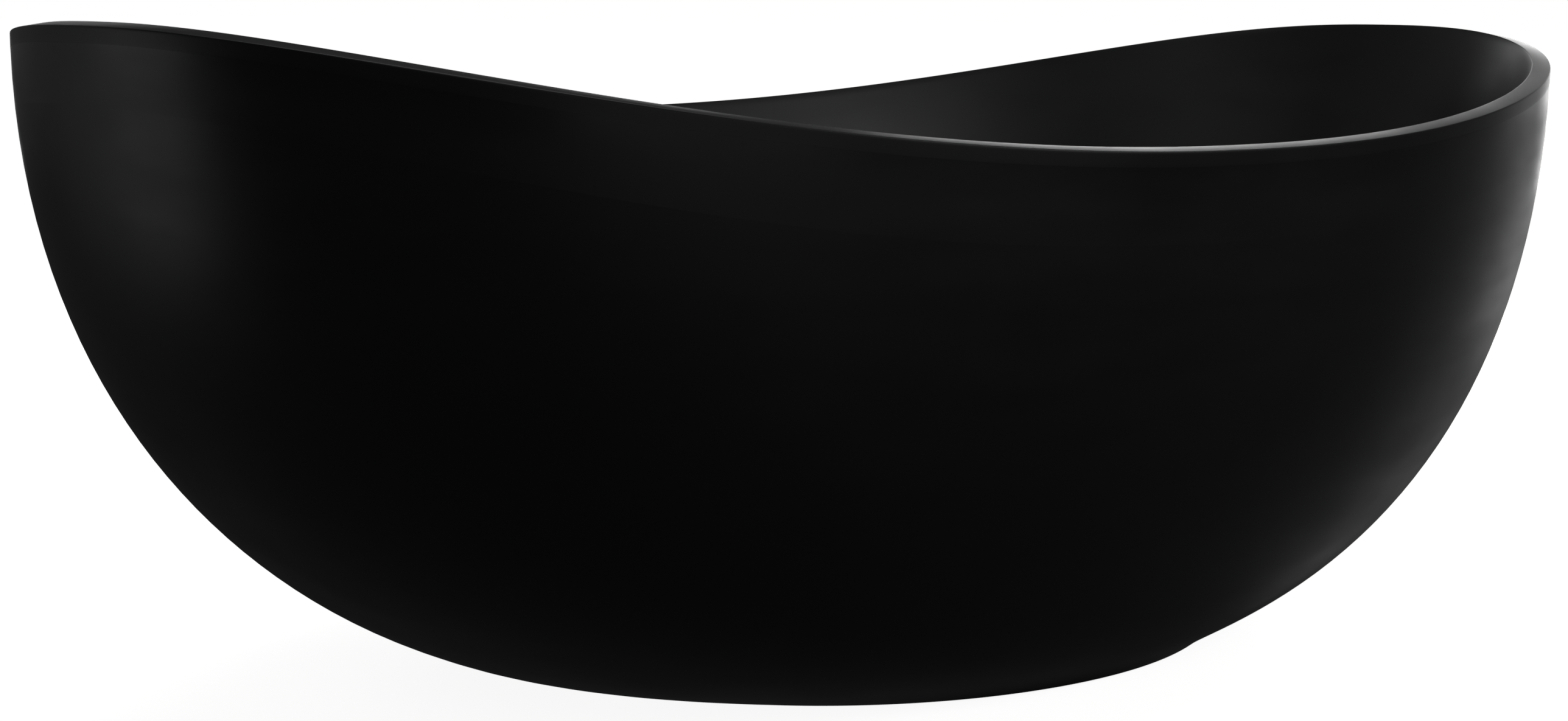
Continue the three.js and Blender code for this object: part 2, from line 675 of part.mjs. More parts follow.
add('outlet_tailpiece', ring(TAIL_RADIUS - TAIL_WALL, TAIL_RADIUS, TAIL_BOTTOM, tailTop), PIPE, waste);

// ---- overflow -----------------------------------------------------------------------------------------

const overflow = new THREE.Group();
overflow.applyMatrix4(overflowFrame);
tub.add(overflow);

// Where the basin's back and the skirt's inside stand at a level of the back wall.
function cavityAt(level) {
  const back = shareAt((t) => offsetPoint(BASIN, t, BACK, BASIN_WALL).z, level);
  const skin = shareAt((t) => offsetPoint(SKIRT, t, BACK, -SKIRT_WALL).z, level);
  return {
    near: offsetPoint(BASIN, back, BACK, BASIN_WALL).y,
    far: offsetPoint(SKIRT, skin, BACK, -SKIRT_WALL).y,
  };
}

const slotCavity = cavityAt(slotPoint.z);
const frontGasketLow = GAP - SEAT_DEPTH;
const trimLow = frontGasketLow + GASKET_THICKNESS + GAP;
const rearGasketHigh = SEAT_DEPTH - BASIN_WALL - GAP;
const boxFront = rearGasketHigh - GASKET_THICKNESS - GAP;
const boxBack = boxFront - (slotCavity.far - slotCavity.near - BOX_CLEARANCE);
const spigotDepth = -(BASIN_WALL + CLIP_ROOM + CLIP_THICKNESS + GAP + hoseOuter);
const boxSpigotEnd = -(boxHeight / 2 + HOSE_GRIP + BOX_WALL);
const hoseTop = boxSpigotEnd + HOSE_GRIP;

function makeGasket(low) {
  const high = low + GASKET_THICKNESS;
  const [under, over] = [low - OVERCUT, high + OVERCUT];
  const blank = plate(stadium(trimWidth, trimHeight), low, high);
  const slot = plate(stadium(SLOT_WIDTH + 2 * SEAT_MARGIN, SLOT_HEIGHT + 2 * SEAT_MARGIN), under, over);
  return cut(blank, slot, ...atScrews(() => rod(SCREW_RADIUS + GAP, under, over)));
}

function makeTrim() {
  const high = trimLow + TRIM_THICKNESS;
  const blank = plate(stadium(trimWidth, trimHeight), trimLow, high);
  const slot = plate(stadium(SLOT_WIDTH, SLOT_HEIGHT), trimLow - OVERCUT, high + OVERCUT);
  const sink = SCREW_HEAD_RADIUS - SCREW_RADIUS + GAP;
  const shank = SCREW_RADIUS + GAP;
  const hole = () => turned([
    [0, trimLow - OVERCUT], [shank, trimLow - OVERCUT], [shank, high - sink - GAP],
    [shank + sink, high - GAP], [shank + sink, high + OVERCUT], [0, high + OVERCUT],
  ], SMALL_SIDES);
  return cut(blank, slot, ...atScrews(hole));
}

function makeScrew() {
  const high = trimLow + TRIM_THICKNESS - GAP;
  const sink = SCREW_HEAD_RADIUS - SCREW_RADIUS;
  const screw = turned([
    [0, boxFront - SCREW_BITE], [SCREW_RADIUS, boxFront - SCREW_BITE], [SCREW_RADIUS, high - sink],
    [SCREW_HEAD_RADIUS, high], [0, high],
  ], SMALL_SIDES);
  const hexSocket = rod(SCREW_SOCKET_RADIUS, high - sink, high + OVERCUT, HEX_SIDES);
  return cut(screw, hexSocket);
}

function makeOverflowBox() {
  const blank = plate(stadium(boxWidth, boxHeight), boxBack, boxFront);
  const roomOutline = stadium(SLOT_WIDTH, boxHeight - 2 * BOX_OVERLAP);
  const room = plate(roomOutline, boxBack + BOX_WALL, boxFront + OVERCUT);
  const downward = (shape) => shape.rotateX(Math.PI / 2).translate(0, 0, spigotDepth);
  const spigot = downward(rod(hoseSpigot, boxHeight / 2 - ROOT, -boxSpigotEnd));
  const bore = downward(rod(hoseSpigot - HOSE_WALL, 0, OVERCUT - boxSpigotEnd));
  const screwHole = () => rod(SCREW_RADIUS + GAP, boxFront - SCREW_BITE - OVERCUT, boxFront + OVERCUT);
  return cut(join(blank, spigot), room, bore, ...atScrews(screwHole));
}

// The hose follows the middle of the cavity down the back wall, then runs level to the waste.
function hosePath() {
  const inWorld = (y) => new THREE.Vector3(0, y, spigotDepth).applyMatrix4(overflowFrame);
  const points = [hoseTop, boxSpigotEnd, boxSpigotEnd - HOSE_GRIP].map(inWorld);
  const first = points[2].z - HOSE_SWING;
  const last = DRAIN_LEVEL + HOSE_LEAD;
  steps(HOSE_GUIDES, first, last).forEach((level) => {
    const { near, far } = cavityAt(level);
    points.push(new THREE.Vector3(0, (near + far) / 2, level));
  });
  const turn = FLOOR_WIDTH / 2 + HOSE_TURN;
  points.push(new THREE.Vector3(0, turn, HOSE_LEVEL + HOSE_TURN / 2));
  points.push(new THREE.Vector3(0, turn - 2 * HOSE_TURN, HOSE_LEVEL));
  points.push(new THREE.Vector3(0, spigotEnd + ROOT, HOSE_LEVEL));
  points.push(new THREE.Vector3(0, spigotEnd - HOSE_GRIP, HOSE_LEVEL));
  return new THREE.CatmullRomCurve3(points, false, 'centripetal');
}

function makeHose() {
  const section = new THREE.Shape().absarc(0, 0, hoseOuter, 0, 2 * Math.PI, false);
  section.holes.push(new THREE.Path().absarc(0, 0, HOSE_BORE, 0, 2 * Math.PI, true));
  const settings = { steps: HOSE_STEPS, curveSegments: SMALL_SIDES / 2, extrudePath: hosePath() };
  return new THREE.ExtrudeGeometry(section, settings);
}

// A hose clip about the Y axis, centred on the origin.
function makeClip() {
  const bore = hoseOuter + GAP;
  const band = ring(bore, bore + CLIP_THICKNESS, -CLIP_WIDTH / 2, CLIP_WIDTH / 2);
  const depth = CLIP_WIDTH / 2;
  const middle = bore + (CLIP_THICKNESS + depth) / 2;
  const housing = box(CLIP_WIDTH, depth, CLIP_WIDTH - 2 * CLIP_EDGE, 0, middle, 0);
  return join(band, housing).rotateX(-Math.PI / 2);
}

add('overflow_trim', makeTrim(), CHROME, overflow);
add('overflow_front_gasket', makeGasket(frontGasketLow), RUBBER, overflow);
add('overflow_rear_gasket', makeGasket(rearGasketHigh - GASKET_THICKNESS), RUBBER, overflow);
add('overflow_box', makeOverflowBox(), PLASTIC, overflow);
add('overflow_screw_left', makeScrew(), CHROME, overflow).position.x = -screwReach;
add('overflow_screw_right', makeScrew(), CHROME, overflow).position.x = screwReach;
add('overflow_hose', makeHose(), PIPE);
add('hose_clip_top', makeClip(), ZINC, overflow).position.set(0, hoseTop - CLIP_WIDTH, spigotDepth);
const lowerClip = add('hose_clip_bottom', makeClip(), ZINC);
lowerClip.position.set(0, spigotEnd - HOSE_GRIP + CLIP_WIDTH, HOSE_LEVEL);
lowerClip.rotation.y = Math.PI / 2;

export default tub;
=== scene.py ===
"""A matte black cast bathtub: its two bonded castings, its chrome waste and overflow, its pipes and its feet.

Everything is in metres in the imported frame: X along the tub, Z up, the floor at zero.
"""

import json
import math

import bmesh
import bpy
from mathutils import Matrix, Vector


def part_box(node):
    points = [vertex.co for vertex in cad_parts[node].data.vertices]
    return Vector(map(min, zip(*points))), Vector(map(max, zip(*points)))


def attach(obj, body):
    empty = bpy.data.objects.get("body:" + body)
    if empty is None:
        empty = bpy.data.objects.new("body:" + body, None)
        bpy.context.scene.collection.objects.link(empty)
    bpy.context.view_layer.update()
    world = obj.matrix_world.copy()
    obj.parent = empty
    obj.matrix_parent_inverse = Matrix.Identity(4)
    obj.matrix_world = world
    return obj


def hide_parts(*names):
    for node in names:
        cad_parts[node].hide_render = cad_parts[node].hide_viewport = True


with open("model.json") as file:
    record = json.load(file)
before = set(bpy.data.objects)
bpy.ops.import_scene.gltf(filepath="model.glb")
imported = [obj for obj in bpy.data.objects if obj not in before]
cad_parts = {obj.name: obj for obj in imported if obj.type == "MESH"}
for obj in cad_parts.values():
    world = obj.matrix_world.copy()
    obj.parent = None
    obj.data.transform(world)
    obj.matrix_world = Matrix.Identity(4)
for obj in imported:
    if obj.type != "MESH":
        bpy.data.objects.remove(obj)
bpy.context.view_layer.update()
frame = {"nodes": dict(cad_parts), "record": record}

MM = 0.001
LOW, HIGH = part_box("basin_shell")

# The tub's outside, and the curves of its walls
LENGTH = HIGH.x - LOW.x
WIDTH = HIGH.y - LOW.y
RIM_WIDTH = 20 * MM
RIM_RISE = 3.3 * MM
END_HEIGHT = HIGH.z - RIM_RISE
MIDDLE_HEIGHT = 526 * MM
BASE_LENGTH = 804 * MM
BASE_WIDTH = 678 * MM
RIM_SQUARENESS = 2.4
RIM_SWEEP = 2.1
SKIRT_END = {"out": 0.518, "rise": 0.055, "inset": 0.0, "drop": 0.563}
SKIRT_SIDE = {"out": 0.071, "rise": 0.06, "inset": 0.018, "drop": 0.95}
BASIN_END = {"out": 0.406, "rise": 0.0, "inset": 0.125, "drop": 0.298}
BASIN_SIDE = {"out": 0.52, "rise": 0.0, "inset": 0.33, "drop": 0.5}
FLOOR_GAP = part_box("outer_skirt_shell")[0].z

# Walls, floor and rim
RIM_LIP = 14 * MM
BOND_LINE = 0.05 * MM
BASIN_WALL = 10 * MM
SKIRT_WALL = 8 * MM
FOOT_RING_WIDTH = 12 * MM
FOOT_RING_HEIGHT = 10 * MM
DRAIN_LEVEL = 112 * MM
FLOOR_FALL = 8 * MM
DRAIN_FLOOR = 14 * MM
FLOOR_LENGTH = 1120 * MM
FLOOR_WIDTH = 500 * MM
FLOOR_BLEND = 0.3
RIM_ROUNDING = 1.0 * MM
RIM_AIM = 0.97
WALL_END = 0.985
LIP_START = 0.2
LIP_ROWS = 3
FLOOR_ROWS = 8
SEAT_MARGIN = 1.5 * MM
SEAT_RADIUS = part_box("drain_flange")[1].x + SEAT_MARGIN
FLANGE_SEAT_DEPTH = 3 * MM
HOLE_RADIUS = 26 * MM
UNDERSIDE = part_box("basin_shell")[0].z

# Overflow
OVERFLOW_DROP = 85 * MM
SLOT = (52 * MM, 8 * MM)
TRIM = (84 * MM, 20 * MM)
BOX = (90 * MM, 26 * MM)
SCREW_REACH = 34 * MM
SCREW_RADIUS = 2 * MM
SCREW_HEAD_RADIUS = 3.6 * MM
HOSE_OUTER = 10.3 * MM
HOSE_GRIP = 20 * MM

# How finely curves are drawn, the play between pieces, and the smallest steps
AROUND = 240
WALL_ROWS = 40
BACK_ROWS = 16
ROUND = 72
SMALL_ROUND = 48
ROD_ROUND = 32
GAP = 0.3 * MM
HAIR = 1e-4
MERGE = 1e-6
TOUCH = 0.01 * MM
RINGS_A_PITCH = 5
HALVINGS = 30
TURN = 2 * math.pi
BACK = math.pi / 2


# ---- the tub's curved surfaces --------


def oval(angle, half_length, half_width, squareness):
    def stretch(value):
        return math.copysign(abs(value) ** (2 / squareness), value)

    return Vector((half_length * stretch(math.cos(angle)), half_width * stretch(math.sin(angle)), 0))


def outer_rim(angle):
    edge = oval(angle, LENGTH / 2, WIDTH / 2, RIM_SQUARENESS)
    edge.z = MIDDLE_HEIGHT + (END_HEIGHT - MIDDLE_HEIGHT) * abs(2 * edge.x / LENGTH) ** RIM_SWEEP
    return edge


def rim_inward(angle):
    along = outer_rim(angle + HAIR) - outer_rim(angle - HAIR)
    return Vector((-along.y, along.x, 0)).normalized()


def inner_rim(angle):
    return outer_rim(angle) + rim_inward(angle) * RIM_WIDTH + Vector((0, 0, RIM_RISE))


def skirt_foot(angle):
    foot = oval(angle, BASE_LENGTH / 2, BASE_WIDTH / 2, 2)
    foot.z = FLOOR_GAP
    return foot


def floor_edge(angle):
    edge = oval(angle, FLOOR_LENGTH / 2, FLOOR_WIDTH / 2, 2)
    edge.z = DRAIN_LEVEL + FLOOR_FALL
    return edge


SKIRT = {"low": skirt_foot, "high": outer_rim, "end": SKIRT_END, "side": SKIRT_SIDE}
BASIN = {"low": floor_edge, "high": inner_rim, "end": BASIN_END, "side": BASIN_SIDE}


def wall_point(wall, t, angle):
    """The point of a wall a share t of the way up, on a cubic curve that turns from the end's to the side's."""
    ends = math.cos(angle) ** 2
    blend = {key: wall["end"][key] * ends + wall["side"][key] * (1 - ends) for key in wall["end"]}
    early = 3 * t * (1 - t) ** 2
    late = 3 * t * t * (1 - t)
    reach = early * blend["out"] + late * (1 - blend["inset"]) + t**3
    lift = early * blend["rise"] + late * (1 - blend["drop"]) + t**3
    low = wall["low"](angle)
    high = wall["high"](angle)
    point = low.lerp(high, reach)
    point.z = low.z + (high.z - low.z) * lift
    return point


def offset_point(wall, t, angle, distance):
    """The same point moved square to the wall, outwards where distance is positive."""
    around = wall_point(wall, t, angle + HAIR) - wall_point(wall, t, angle - HAIR)
    upward = wall_point(wall, min(t + HAIR, 1), angle) - wall_point(wall, max(t - HAIR, 0), angle)
    return wall_point(wall, t, angle) + around.cross(upward).normalized() * distance


def share_at(height_of, height):
    """The share t at which a rising function reaches a height."""
    low, high = 0.0, 1.0
    for _ in range(HALVINGS):
        middle = (low + high) / 2
        if height_of(middle) < height:
            low = middle
        else:
            high = middle
    return (low + high) / 2


def steps(count, start, end):
    return [start + (end - start) * i / count for i in range(count + 1)]


def basin_thickness(t):
    left = max(0.0, 1 - t / FLOOR_BLEND)
    return BASIN_WALL + (DRAIN_FLOOR + FLOOR_FALL - BASIN_WALL) * left * left


def rounded_corner(before, corner, after, radius, count=4):
    """Points on a soft corner between two straight runs, as a quadratic curve."""
    start = corner + (before - corner).normalized() * radius
    end = corner + (after - corner).normalized() * radius
    shares = steps(count, 0, 1)
    return [start * (1 - t) ** 2 + corner * 2 * t * (1 - t) + end * t * t for t in shares]


def basin_section(angle):
    """The basin's section, from the drain hole over its seat, up the wet wall, over the rim and down the back."""
    edge = floor_edge(angle)
    outward = Vector((edge.x, edge.y, 0)).normalized()
    mouth = Vector((0, 0, DRAIN_LEVEL)).lerp(edge, SEAT_RADIUS / Vector((edge.x, edge.y)).length)
    seat = Vector((0, 0, DRAIN_LEVEL - FLANGE_SEAT_DEPTH))
    lip_level = outer_rim(angle).z - RIM_LIP
    lip = share_at(lambda t: wall_point(SKIRT, t, angle).z, lip_level)
    back = share_at(lambda t: offset_point(BASIN, t, angle, BASIN_WALL).z, lip_level)
    inner, outer = inner_rim(angle), outer_rim(angle)
    below_inner = wall_point(BASIN, RIM_AIM, angle)
    below_outer = wall_point(SKIRT, (1 + lip) / 2, angle)
    points = [outward * HOLE_RADIUS + Vector((0, 0, UNDERSIDE)), outward * HOLE_RADIUS + seat]
    points += [outward * SEAT_RADIUS + seat, mouth]
    points += [mouth.lerp(edge, t) for t in steps(FLOOR_ROWS, 0, 1)[1:-1]]
    points += [wall_point(BASIN, t, angle) for t in steps(WALL_ROWS, 0, WALL_END)]
    points += rounded_corner(below_inner, inner, outer, RIM_ROUNDING)
    points += rounded_corner(inner, outer, below_outer, RIM_ROUNDING)
    points += [wall_point(SKIRT, t, angle) for t in steps(LIP_ROWS, 1 - (1 - lip) * LIP_START, lip)]
    points += [offset_point(BASIN, t, angle, basin_thickness(t)) for t in steps(BACK_ROWS, back, 0)]
    return points


def skirt_section(angle):
    """The skirt's section from its foot ring up the inside, over the bond line, and down the outside."""
    top = outer_rim(angle).z - RIM_LIP - BOND_LINE
    foot = skirt_foot(angle)
    toe = foot - Vector((foot.x, foot.y, 0)).normalized() * FOOT_RING_WIDTH
    shelf = FLOOR_GAP + FOOT_RING_HEIGHT

    def inside(t):
        return offset_point(SKIRT, t, angle, -SKIRT_WALL)

    low = share_at(lambda t: inside(t).z, shelf)
    high = share_at(lambda t: inside(t).z, top)
    highest = share_at(lambda t: wall_point(SKIRT, t, angle).z, top)
    points = [foot, toe, Vector((toe.x, toe.y, shelf))]
    points += [inside(t) for t in steps(BACK_ROWS, low, high)]
    points += [wall_point(SKIRT, t, angle) for t in steps(WALL_ROWS, highest, 0)[:-1]]
    return points


# ---- mesh helpers --------

RECORD = frame["record"]
BODY_OF = {node: body for body, nodes in RECORD["behaviour"]["bodies"].items() for node in nodes}
SLOT_OF = {subpart["node"]: subpart["material_slot"] for subpart in RECORD["subparts"]}
BEVEL = {"affect": "EDGES", "profile": 0.5, "material": -1, "clamp_overlap": True}


def finish_mesh(bm, name, material, body="tub", sharp_degrees=32):
    """Makes a piece of a bmesh: doubles merged, faces outward, smooth but for its real edges."""
    bmesh.ops.remove_doubles(bm, verts=bm.verts, dist=MERGE)
    bmesh.ops.recalc_face_normals(bm, faces=bm.faces)
    for face in bm.faces:
        face.smooth = True
    for edge in bm.edges:
        edge.smooth = len(edge.link_faces) == 2 and edge.calc_face_angle(0) < math.radians(sharp_degrees)
    mesh = bpy.data.meshes.new(name)
    bm.to_mesh(mesh)
    bm.free()
    piece = bpy.data.objects.new(name, mesh)
    bpy.context.scene.collection.objects.link(piece)
    piece.data.materials.append(material)
    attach(piece, body)
    return piece


def stand_for(node, bm, name, sharp_degrees=32):
    """Makes the piece that is seen in place of a frame node, on its body, in its slot and of its material."""
    piece = finish_mesh(bm, name, MATERIALS[SLOT_OF[node]], BODY_OF[node], sharp_degrees)
    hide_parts(node)
    return piece


def centre_of(node):
    low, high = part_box(node)
    return (low + high) / 2


def under_middle(node):
    """The shift from the origin to straight under a node's middle."""
    middle = centre_of(node)
    return Vector((middle.x, middle.y, 0))


def radius_of(node):
    """Half of a node's depth along Y, which is the outer radius of a round or six-sided piece."""
    low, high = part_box(node)
    return (high.y - low.y) / 2


def swept_rings(columns, closed):
    """Circles of points moved onto each row of the columns and bridged, as a body that closes round on itself."""
    bm = bmesh.new()
    loops = []
    for row in range(len(columns[0])):
        ring = bmesh.ops.create_circle(bm, segments=len(columns), radius=1)["verts"]
        for column, vertex in zip(columns, ring):
            vertex.co = column[row]
        loops.append(list({edge for vertex in ring for edge in vertex.link_edges}))
    pairs = list(zip(loops, loops[1:]))
    if closed:
        pairs.append((loops[-1], loops[0]))
    for near, far in pairs:
        bmesh.ops.bridge_loops(bm, edges=near + far)
    if not closed:
        bmesh.ops.holes_fill(bm, edges=loops[0] + loops[-1])
    return bm


def swept_round(section):
    return swept_rings([section(TURN * i / AROUND) for i in range(AROUND)], closed=True)


def lathe(profile, sides=ROUND):
    """A solid of revolution about Z, of (radius, height) points that end on the axis or close on themselves."""
    bm = bmesh.new()
    points = [bm.verts.new((radius, 0, height)) for radius, height in profile]
    for near, far in zip(points, points[1:]):
        bm.edges.new((near, far))
    if profile[0][0] > 0:
        bm.edges.new((points[-1], points[0]))
    line = bm.verts[:] + bm.edges[:]
    turn = {"cent": (0, 0, 0), "axis": (0, 0, 1), "angle": TURN}
    bmesh.ops.spin(bm, geom=line, steps=sides, use_merge=True, **turn)
    bmesh.ops.remove_doubles(bm, verts=bm.verts, dist=MERGE / 10)
    bmesh.ops.recalc_face_normals(bm, faces=bm.faces)
    return bm


def soften(bm, width, segments=2, degrees=30):
    """Breaks every edge sharper than an angle with a small round."""
    sharp = [e for e in bm.edges if len(e.link_faces) == 2 and e.calc_face_angle(0) > math.radians(degrees)]
    bmesh.ops.bevel(bm, geom=sharp, offset=width, segments=segments, **BEVEL)
    return bm


def block(size, centre, round_over=0.0):
    bm = bmesh.new()
    bmesh.ops.create_cube(bm, size=1)
    bmesh.ops.scale(bm, vec=size, verts=bm.verts)
    bmesh.ops.translate(bm, vec=centre, verts=bm.verts)
    return soften(bm, round_over) if round_over else bm


def hexagon(radius, low, high, bore=0.0, edge=0.6 * MM):
    """A six-sided bar or nut with its corners towards +Y and -Y and its edges broken."""
    bm = lathe([(bore, low), (radius, low), (radius, high), (bore, high)], sides=6)
    bmesh.ops.rotate(bm, cent=(0, 0, 0), matrix=Matrix.Rotation(math.radians(30), 3, "Z"), verts=bm.verts)
    return soften(bm, edge)


def out_of(vertex):
    """How far a vertex is from the Z axis."""
    return Vector((vertex.co.x, vertex.co.y)).length


def push_out(vertex, distance):
    """Moves a vertex straight away from the Z axis, or towards it where the distance is negative."""
    factor = 1 + distance / out_of(vertex)
    vertex.co.x *= factor
    vertex.co.y *= factor


def turned(i, count):
    """The turn about Z to place i of a number of places, evenly spaced."""
    return Matrix.Rotation(TURN * i / count, 4, "Z")


def moved(bm, place):
    """The mesh shifted by a vector or turned and shifted by a matrix."""
    if isinstance(place, Matrix):
        bmesh.ops.transform(bm, matrix=place, verts=bm.verts)
    else:
        bmesh.ops.translate(bm, vec=place, verts=bm.verts)
    return bm


def joined(*meshes):
    """Several closed shapes as one mesh."""
    whole = bmesh.new()
    for bm in meshes:
        scratch = bpy.data.meshes.new("scratch")
        bm.to_mesh(scratch)
        bm.free()
        whole.from_mesh(scratch)
        bpy.data.meshes.remove(scratch)
    return whole


def carved(bm, *cutters):
    """The mesh with closed shapes cut out of it, one after another."""
    for cutter in cutters:
        objects = []
        for name, source in (("carved", bm), ("cutter", cutter)):
            mesh = bpy.data.meshes.new(name)
            source.to_mesh(mesh)
            source.free()
            objects.append(bpy.data.objects.new(name, mesh))
            bpy.context.scene.collection.objects.link(objects[-1])
        solid, tool = objects
        modifier = solid.modifiers.new("cut", "BOOLEAN")
        modifier.operation = "DIFFERENCE"
        modifier.solver = "EXACT"
        modifier.object = tool
        seen = solid.evaluated_get(bpy.context.evaluated_depsgraph_get())
        bm = bmesh.new()
        bm.from_mesh(seen.to_mesh())
        seen.to_mesh_clear()
        for piece in objects:
            mesh = piece.data
            bpy.data.objects.remove(piece)
            bpy.data.meshes.remove(mesh)
    return bm


def thread(bm, low, high, radius, pitch, depth):
    """Cuts a real helical thread in a bar about Z whose rings stand closer together than half a pitch."""
    for vertex in bm.verts:
        if low <= vertex.co.z <= high and out_of(vertex) > radius - TOUCH:
            turn = math.atan2(vertex.co.y, vertex.co.x) / TURN
            share = (vertex.co.z / pitch - turn) % 1
            push_out(vertex, -depth * (1 - abs(2 * share - 1)))
    return bm


def threaded_rod(radius, low, high, pitch, depth, bevel):
    """A bar about Z, threaded from end to end, with its tips bevelled."""
    count = int((high - low) / pitch * RINGS_A_PITCH)
    shank = [(radius, level) for level in steps(count, low + bevel, high - bevel)]
    tips = [(0, low), (radius - bevel, low)], [(radius - bevel, high), (0, high)]
    return thread(lathe([*tips[0], *shank, *tips[1]], sides=ROD_ROUND), low, high, radius, pitch, depth)


def stadium(size, level, sides=ROUND):
    """The points of a stadium outline of a length along X and a height along Y, in the plane of a level."""
    length, height = size
    reach = (length - height) / 2
    points = []
    for i in range(sides):
        angle = TURN * (i + 0.5) / sides
        side = math.copysign(reach, math.cos(angle))
        points.append(Vector((height / 2 * math.cos(angle) + side, height / 2 * math.sin(angle), level)))
    return points


def stadium_stack(outlines, closed=False, sides=ROUND):
    """Stadium outlines, each a size and a level, bridged in turn: closed on itself, or capped at both ends."""
    rows = [stadium(size, level, sides) for size, level in outlines]
    return swept_rings([list(column) for column in zip(*rows)], closed)


def grown(size, margin):
    return size[0] + 2 * margin, size[1] + 2 * margin


# ---- materials --------


def hex_colour(code):
    channels = [int(code[i : i + 2], 16) / 255 for i in (1, 3, 5)]
    linear = [c / 12.92 if c <= 0.04045 else ((c + 0.055) / 1.055) ** 2.4 for c in channels]
    return (*linear, 1.0)


def add_node(tree, kind, settings=None, **links):
    """Adds a node, sets its properties and sockets, and links its inputs from other nodes' outputs."""
    node = tree.nodes.new(kind)
    for key, value in (settings or {}).items():
        if isinstance(key, str) and hasattr(node, key):
            setattr(node, key, value)
        else:
            node.inputs[key].default_value = value
    for key, source in links.items():
        target = node.inputs[int(key[1:])] if key[0] == "i" and key[1:].isdigit() else node.inputs[key]
        tree.links.new(source, target)
    return node


def new_material(name, metallic=0.0, ior=1.5):
    material = bpy.data.materials.new(name)
    material.use_nodes = True
    tree = material.node_tree
    tree.nodes.clear()
    shader = tree.nodes.new("ShaderNodeBsdfPrincipled")
    output = tree.nodes.new("ShaderNodeOutputMaterial")
    tree.links.new(shader.outputs[0], output.inputs[0])
    shader.inputs["Metallic"].default_value = metallic
    shader.inputs["IOR"].default_value = ior
    return material, tree, shader


def patches(tree, spacing, low, high, detail=2.0, stretch=(1, 1, 1)):
    """Cloudy patches of a size in metres, as a value that wanders between a low and a high one."""
    place = add_node(tree, "ShaderNodeTexCoord").outputs["Object"]
    turned = add_node(tree, "ShaderNodeMapping", {"Scale": stretch}, Vector=place).outputs[0]
    clouds = add_node(tree, "ShaderNodeTexNoise", {"Scale": 1 / spacing, "Detail": detail}, Vector=turned)
    spread = {"From Min": 0.3, "From Max": 0.7, "To Min": low, "To Max": high}
    return add_node(tree, "ShaderNodeMapRange", spread, Value=clouds.outputs[0]).outputs[0]


def blend_colours(tree, share, first, second):
    colours = {"data_type": "RGBA", 6: hex_colour(first), 7: hex_colour(second)}
    return add_node(tree, "ShaderNodeMix", colours, i0=share).outputs[2]


def raise_surface(tree, shader, *layers):
    """Stacks bumps on the shader, each of a height output and its depth in metres."""
    normal = None
    for height, depth in layers:
        bump = add_node(tree, "ShaderNodeBump", {"Strength": 1.0, "Distance": depth}, Height=height)
        if normal:
            tree.links.new(normal, bump.inputs["Normal"])
        normal = bump.outputs[0]
    tree.links.new(normal, shader.inputs["Normal"])


def cast_stone_material():
    """Cast solid surface, black right through and wet-sanded: a silky matt with a trace of mineral grain, faint
    cloudy changes of sheen from the sanding pads, and edges rubbed a little smoother."""
    material, tree, shader = new_material("cast solid surface, sanded matt black")
    shader.inputs["Specular IOR Level"].default_value = 0.46
    # The grain is 0.3 mm on the real surface, drawn at 1.6 mm so that it can be seen
    grain = patches(tree, 1.6 * MM, 0.0, 1.0, detail=3.0)
    depth_of_colour = blend_colours(tree, patches(tree, 180 * MM, 0.0, 1.0), "#181819", "#1b1b1d")
    speck = {"data_type": "RGBA", "blend_type": "MULTIPLY", 0: 0.16}
    tint = blend_colours(tree, grain, "#d8d8dc", "#ffffff")
    mottled = add_node(tree, "ShaderNodeMix", speck, i6=depth_of_colour, i7=tint)
    tree.links.new(mottled.outputs[2], shader.inputs["Base Color"])
    # Pads swing along the tub, so the sheen changes in long low streaks
    streaks = patches(tree, 60 * MM, -0.03, 0.03, stretch=(0.35, 0.6, 1.6))
    clouds = patches(tree, 230 * MM, 0.36, 0.42)
    sheen = add_node(tree, "ShaderNodeMath", {"operation": "ADD"}, i0=streaks, i1=clouds).outputs[0]
    corners = add_node(tree, "ShaderNodeNewGeometry").outputs["Pointiness"]
    worn = {"From Min": 0.52, "From Max": 0.6, "To Min": 0.0, "To Max": 0.08}
    rubbed = add_node(tree, "ShaderNodeMapRange", worn, Value=corners).outputs[0]
    rough = add_node(tree, "ShaderNodeMath", {"operation": "SUBTRACT"}, i0=sheen, i1=rubbed)
    tree.links.new(rough.outputs[0], shader.inputs["Roughness"])
    hollows = patches(tree, 90 * MM, 0.0, 1.0)
    raise_surface(tree, shader, (hollows, 0.12 * MM), (grain, 0.01 * MM))
    return material


def finish(name, colours, blotches, sheen, relief, depth, metallic=0.0, ior=1.5):
    """A finish that wanders a little: between two colours in blotches, in its sheen, and in a fine relief."""
    material, tree, shader = new_material(name, metallic, ior)
    tree.links.new(blend_colours(tree, patches(tree, *blotches), *colours), shader.inputs["Base Color"])
    tree.links.new(patches(tree, *sheen), shader.inputs["Roughness"])
    raise_surface(tree, shader, (patches(tree, *relief), depth))
    return material


